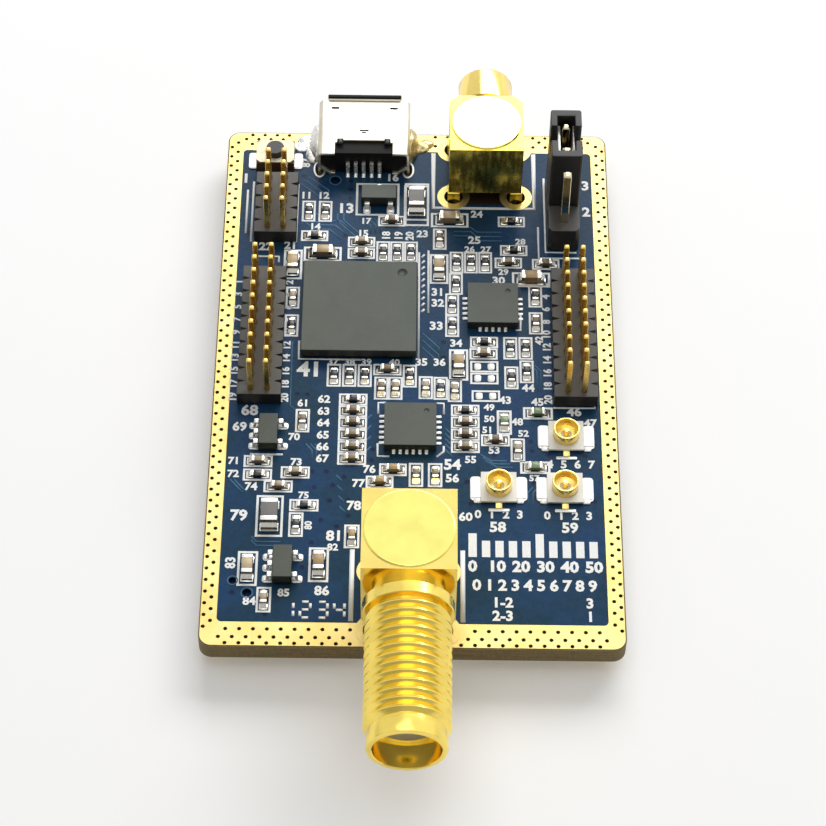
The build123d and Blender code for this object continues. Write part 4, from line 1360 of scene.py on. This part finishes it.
def make_jacks():
    """The micro sockets' gold rings, their tinned ground tabs, and the solder around them."""
    base_top = box_mm("coax_bases")[1].z
    rings = merged_copy("coax_shells", "micro_jack_rings")
    edit(rings)
    pick_faces(rings, lambda centre, normal: centre.z < base_top - 0.1)
    bpy.ops.mesh.separate(type="SELECTED")
    done()
    tabs = [piece for piece in bpy.context.selected_objects if piece != rings][0]
    tabs.name = "micro_jack_tabs"
    soften(rings, 0.03)
    soften(tabs, 0.03)
    dress(rings, "ring_gold", "coax_shells")
    dress(tabs, "white_solder")
    pads = []
    for box in islands("coax_bases"):
        x, y, z = middle(box)
        for side in (-1, 1):
            pads.append(flat_pad(x + side * 1.25, y - 1.12, x + side * 2.16, y + 1.08, 0.10, 0.03))
            pads.append(flat_pad(x + side * 1.32, y - 1.34, x + side * 1.9, y - 0.9, 0.12, 0.03))
        pads.append(flat_pad(x - 0.8, y - 2.08, x + 0.8, y - 1.80, 0.07))
    dress(joined("jack_solder", pads), "white_solder")


def pads_under(node, over_x, over_y, height, round_off=0.02):
    """Pads that reach past each lead of a node."""
    return [flat_pad(low.x - over_x, low.y - over_y, high.x + over_x, high.y + over_y, height,
                     round_off) for low, high in islands(node)]


def lead_end_pads(chip):
    """Pads that reach out from under the lead ends around a flat chip."""
    half = 0.13
    height = 0.06
    out_x = 0.6
    out_y = 0.5
    inside = 1.0
    centre = middle(box_mm(chip + "_package"))
    pads = []
    for box in islands(chip + "_leads"):
        spot = middle(box)
        offset = spot - centre
        if abs(offset.x) < inside and abs(offset.y) < inside:
            continue
        if abs(offset.x) > abs(offset.y):
            end = spot.x + math.copysign(out_x, offset.x)
            pads.append(flat_pad(spot.x, spot.y - half, end, spot.y + half, height))
        else:
            end = spot.y + math.copysign(out_y, offset.y)
            pads.append(flat_pad(spot.x - half, spot.y, spot.x + half, end, height))
    return pads


def make_lead_pads():
    """Tinned pads under the leads of the flat chips, the small packages and the switch."""
    pads = lead_end_pads("tuner") + lead_end_pads("clock")
    pads += pads_under("small_package_leads", 0.1, 0.12, 0.05)
    pads += pads_under("switch_terminals", 0.12, 0.15, 0.12, 0.04)
    dress(joined("lead_pads", pads), "white_solder")


def make_flux_stain():
    """A dark sheet on the board under the push-fit jack, between its legs: painted shadow of the gap
    under the block.
    """
    low, high = box_mm("mcx_body")
    # Painted shadow: a dark sheet where the gap under the block lies in shade.
    dark_patch = flat_pad(low.x + 0.2, low.y - 0.25, high.x - 0.2, low.y + 2.2, 0.012, 0.004)
    dress(joined("painted_jack_shadow", [dark_patch]), "painted_jack_shadow")


def make_clip_edges():
    """The upper edges of the shunt's spring, seen through its notch."""
    low, high = box_mm("shunt_clip")
    top = box_mm("shunt_housing")[1].z - 1.0
    y = (low.y + high.y) / 2
    length = high.y - low.y - 0.3
    strips = [slab(x, y, width, length, high.z - 0.3, top, 0.03, 2)
              for x, width in ((low.x + 0.15, 0.20), (high.x - 0.10, 0.08))]
    dress(joined("shunt_spring_edges", strips), "white_solder", slot="tinned_steel", body="shunt")


# ---------------------------------------------------------------- turned barrels

def threaded_profile(length):
    """Bore, neck, collar, thread and open end of the threaded barrel, as (radius, height)."""
    bore, neck, collar, root, crest, mouth = (2.05, 2.6, 3.3, 2.72, 3.1, 2.4)
    pitch = 0.7056
    turns = 13
    under = 1.8
    profile = [(bore, 0), (neck, 0), (neck, 0.8), (2.7, 0.85), (3.24, 0.85), (collar, 0.91),
               (collar, 1.74), (3.24, under), (2.74, under)]
    ridge = ((root, 0), (2.76, 0.04), (3.04, 0.34), (crest, 0.42), (crest, 0.53), (3.04, 0.61),
             (2.76, 0.91), (root, 0.95))
    start = under + 0.25 * pitch
    for turn in range(turns):
        profile += [(radius, start + turn * pitch + rise * pitch) for radius, rise in ridge]
    lip = start + (turns + 0.25) * pitch
    return profile + [(root, lip), (2.8, lip + 0.03), (2.85, lip + 0.08), (2.85, length - 0.22),
                      (2.79, length - 0.08), (2.66, length), (2.46, length),
                      (mouth, length - 0.06), (mouth, length - 1.97), (2.37, length - 2.0),
                      (bore, length - 2.0), (bore, 0)]


def push_profile(length):
    """Bore, neck, sleeve and open end of the push-fit barrel, as (radius, height)."""
    bore, neck, sleeve, mouth = (1.5, 1.85, 2.2, 1.75)
    return [(bore, 0), (neck, 0), (neck, 0.55), (1.9, 0.6), (2.14, 0.6), (sleeve, 0.66),
            (sleeve, length - 0.2), (2.15, length - 0.07), (2.02, length), (1.8, length),
            (mouth, length - 0.06), (mouth, length - 2.6), (bore, length - 2.6), (bore, 0)]


def make_barrel(name, node, profile, side, steps, finish):
    """A barrel with finely rounded edges, turned from its block outward along Y."""
    low, high = box_mm(node)
    centre = middle((low, high))
    foot = low.y if side > 0 else high.y
    points = profile(high.y - low.y)
    barrel = turned(name, points, (centre.x, foot, centre.z), steps, (0, side, 0))
    smooth_below(barrel, 32)
    dress(barrel, finish, node)


def make_pieces():
    """Every piece, from the laminate up."""
    make_board()
    make_pad_rings()
    make_signal_vias()
    make_hole_linings()
    make_tracks()
    outlines = []
    for family in families:
        outlines += make_chips(family)
    outlines += make_empty_places()
    make_print(outlines)
    make_softened()
    make_socket_solder()
    make_shell_marks()
    make_jacks()
    make_lead_pads()
    make_flux_stain()
    make_clip_edges()
    make_barrel("threaded_barrel", "sma_barrel", threaded_profile, -1, 96, "thread_gold")
    make_barrel("push_barrel", "mcx_barrel", push_profile, 1, 72, "connector_gold")


# ---------------------------------------------------------------- studio

fill_front = 0.08         # the world's light on the object, from the front and the back
fill_back = 0.42
mirror_front = 0.52       # the world as metal mirrors it, from the front and the back
mirror_back = 1.06
mirror_left = 0.80        # the share of that which is left beyond the light's left edge
floor_glow = 0.17         # lifts the floor to white


def make_camera():
    """The camera in front of the board, looking down at it through a long lens."""
    data = bpy.data.cameras.new("camera")
    data.sensor_width = 36.0
    data.lens = 120.45
    data.clip_start = 0.01
    data.clip_end = 10.0
    camera = bpy.data.objects.new("camera", data)
    camera.location = at(-0.712, -129.256, 171.824)
    camera.rotation_euler = [math.radians(a) for a in (36.135, -0.529, 0.455)]
    link(camera)
    bpy.context.scene.camera = camera


def make_floor():
    """A pale floor that renders white and keeps the shadow of the board."""
    deselect()
    bpy.ops.mesh.primitive_plane_add(size=2.0, location=(0, 0, 0))
    floor = named("floor")
    f = Finish("pale_floor")
    speckle = f.noise(f.node("ShaderNodeTexCoord", output="Object"), 40.0, 2.0)
    f.finish(Base_Color=f.mix(speckle, (0.88, 0.88, 0.88), (0.90, 0.90, 0.90)), Roughness=0.9,
             Emission_Color=(1, 1, 1), Emission_Strength=floor_glow, Specular_IOR_Level=0.1)
    floor.data.materials.append(f.material)


def area_lamp(name, place, target, width, height, power):
    """A rectangular lamp that faces a target, in metres and watts."""
    data = bpy.data.lights.new(name, "AREA")
    data.shape = "RECTANGLE"
    data.size = width
    data.size_y = height
    data.energy = power
    lamp = bpy.data.objects.new(name, data)
    lamp.location = place
    lamp.rotation_euler = (Vector(target) - Vector(place)).to_track_quat("-Z", "Y").to_euler()
    link(lamp)


def make_world():
    """White where it is seen, a little darker in front where it is mirrored, and a plain fill."""
    world = bpy.data.worlds.new("studio")
    world.use_nodes = True
    world.node_tree.nodes.clear()
    n = Nodes(world.node_tree)
    direction = n.node("ShaderNodeTexCoord", output="Generated")
    lean = n.split(direction, "Y") * 0.6 + n.split(direction, "Z") * 0.8
    aside = n.step(n.split(direction, "X"), -0.24, -0.12, mirror_left, 1.0)
    mirrored = n.step(lean, -0.3, 0.5, mirror_front, mirror_back) * aside
    fill = n.step(lean, -0.2, 0.8, fill_front, fill_back)
    seen = n.node("ShaderNodeLightPath", output="Is Camera Ray")
    through = n.node("ShaderNodeLightPath", output="Is Transmission Ray")
    glossy = n.node("ShaderNodeLightPath", output="Is Glossy Ray")
    plain = seen + through
    strength = plain + (1 - plain) * (glossy * mirrored + (1 - glossy) * fill)
    background = n.node("ShaderNodeBackground", {}, {"Color": (1, 1, 1), "Strength": strength})
    n.node("ShaderNodeOutputWorld", {}, {"Surface": background}, output=None)
    bpy.context.scene.world = world


def make_studio():
    """Camera, floor, world, a large soft lamp from behind and a weak one from above."""
    scene = bpy.context.scene
    scene.view_settings.view_transform = "Standard"
    make_camera()
    make_floor()
    make_world()
    area_lamp("soft_box", (0.14, 0.45, 0.34), (0, 0, 0), 0.56, 0.28, 2.9)
    area_lamp("overhead", (-0.05, -0.02, 0.60), (0, 0, 0), 0.40, 0.40, 0.5)


make_finishes()
paint_nodes()
make_pieces()
make_studio()
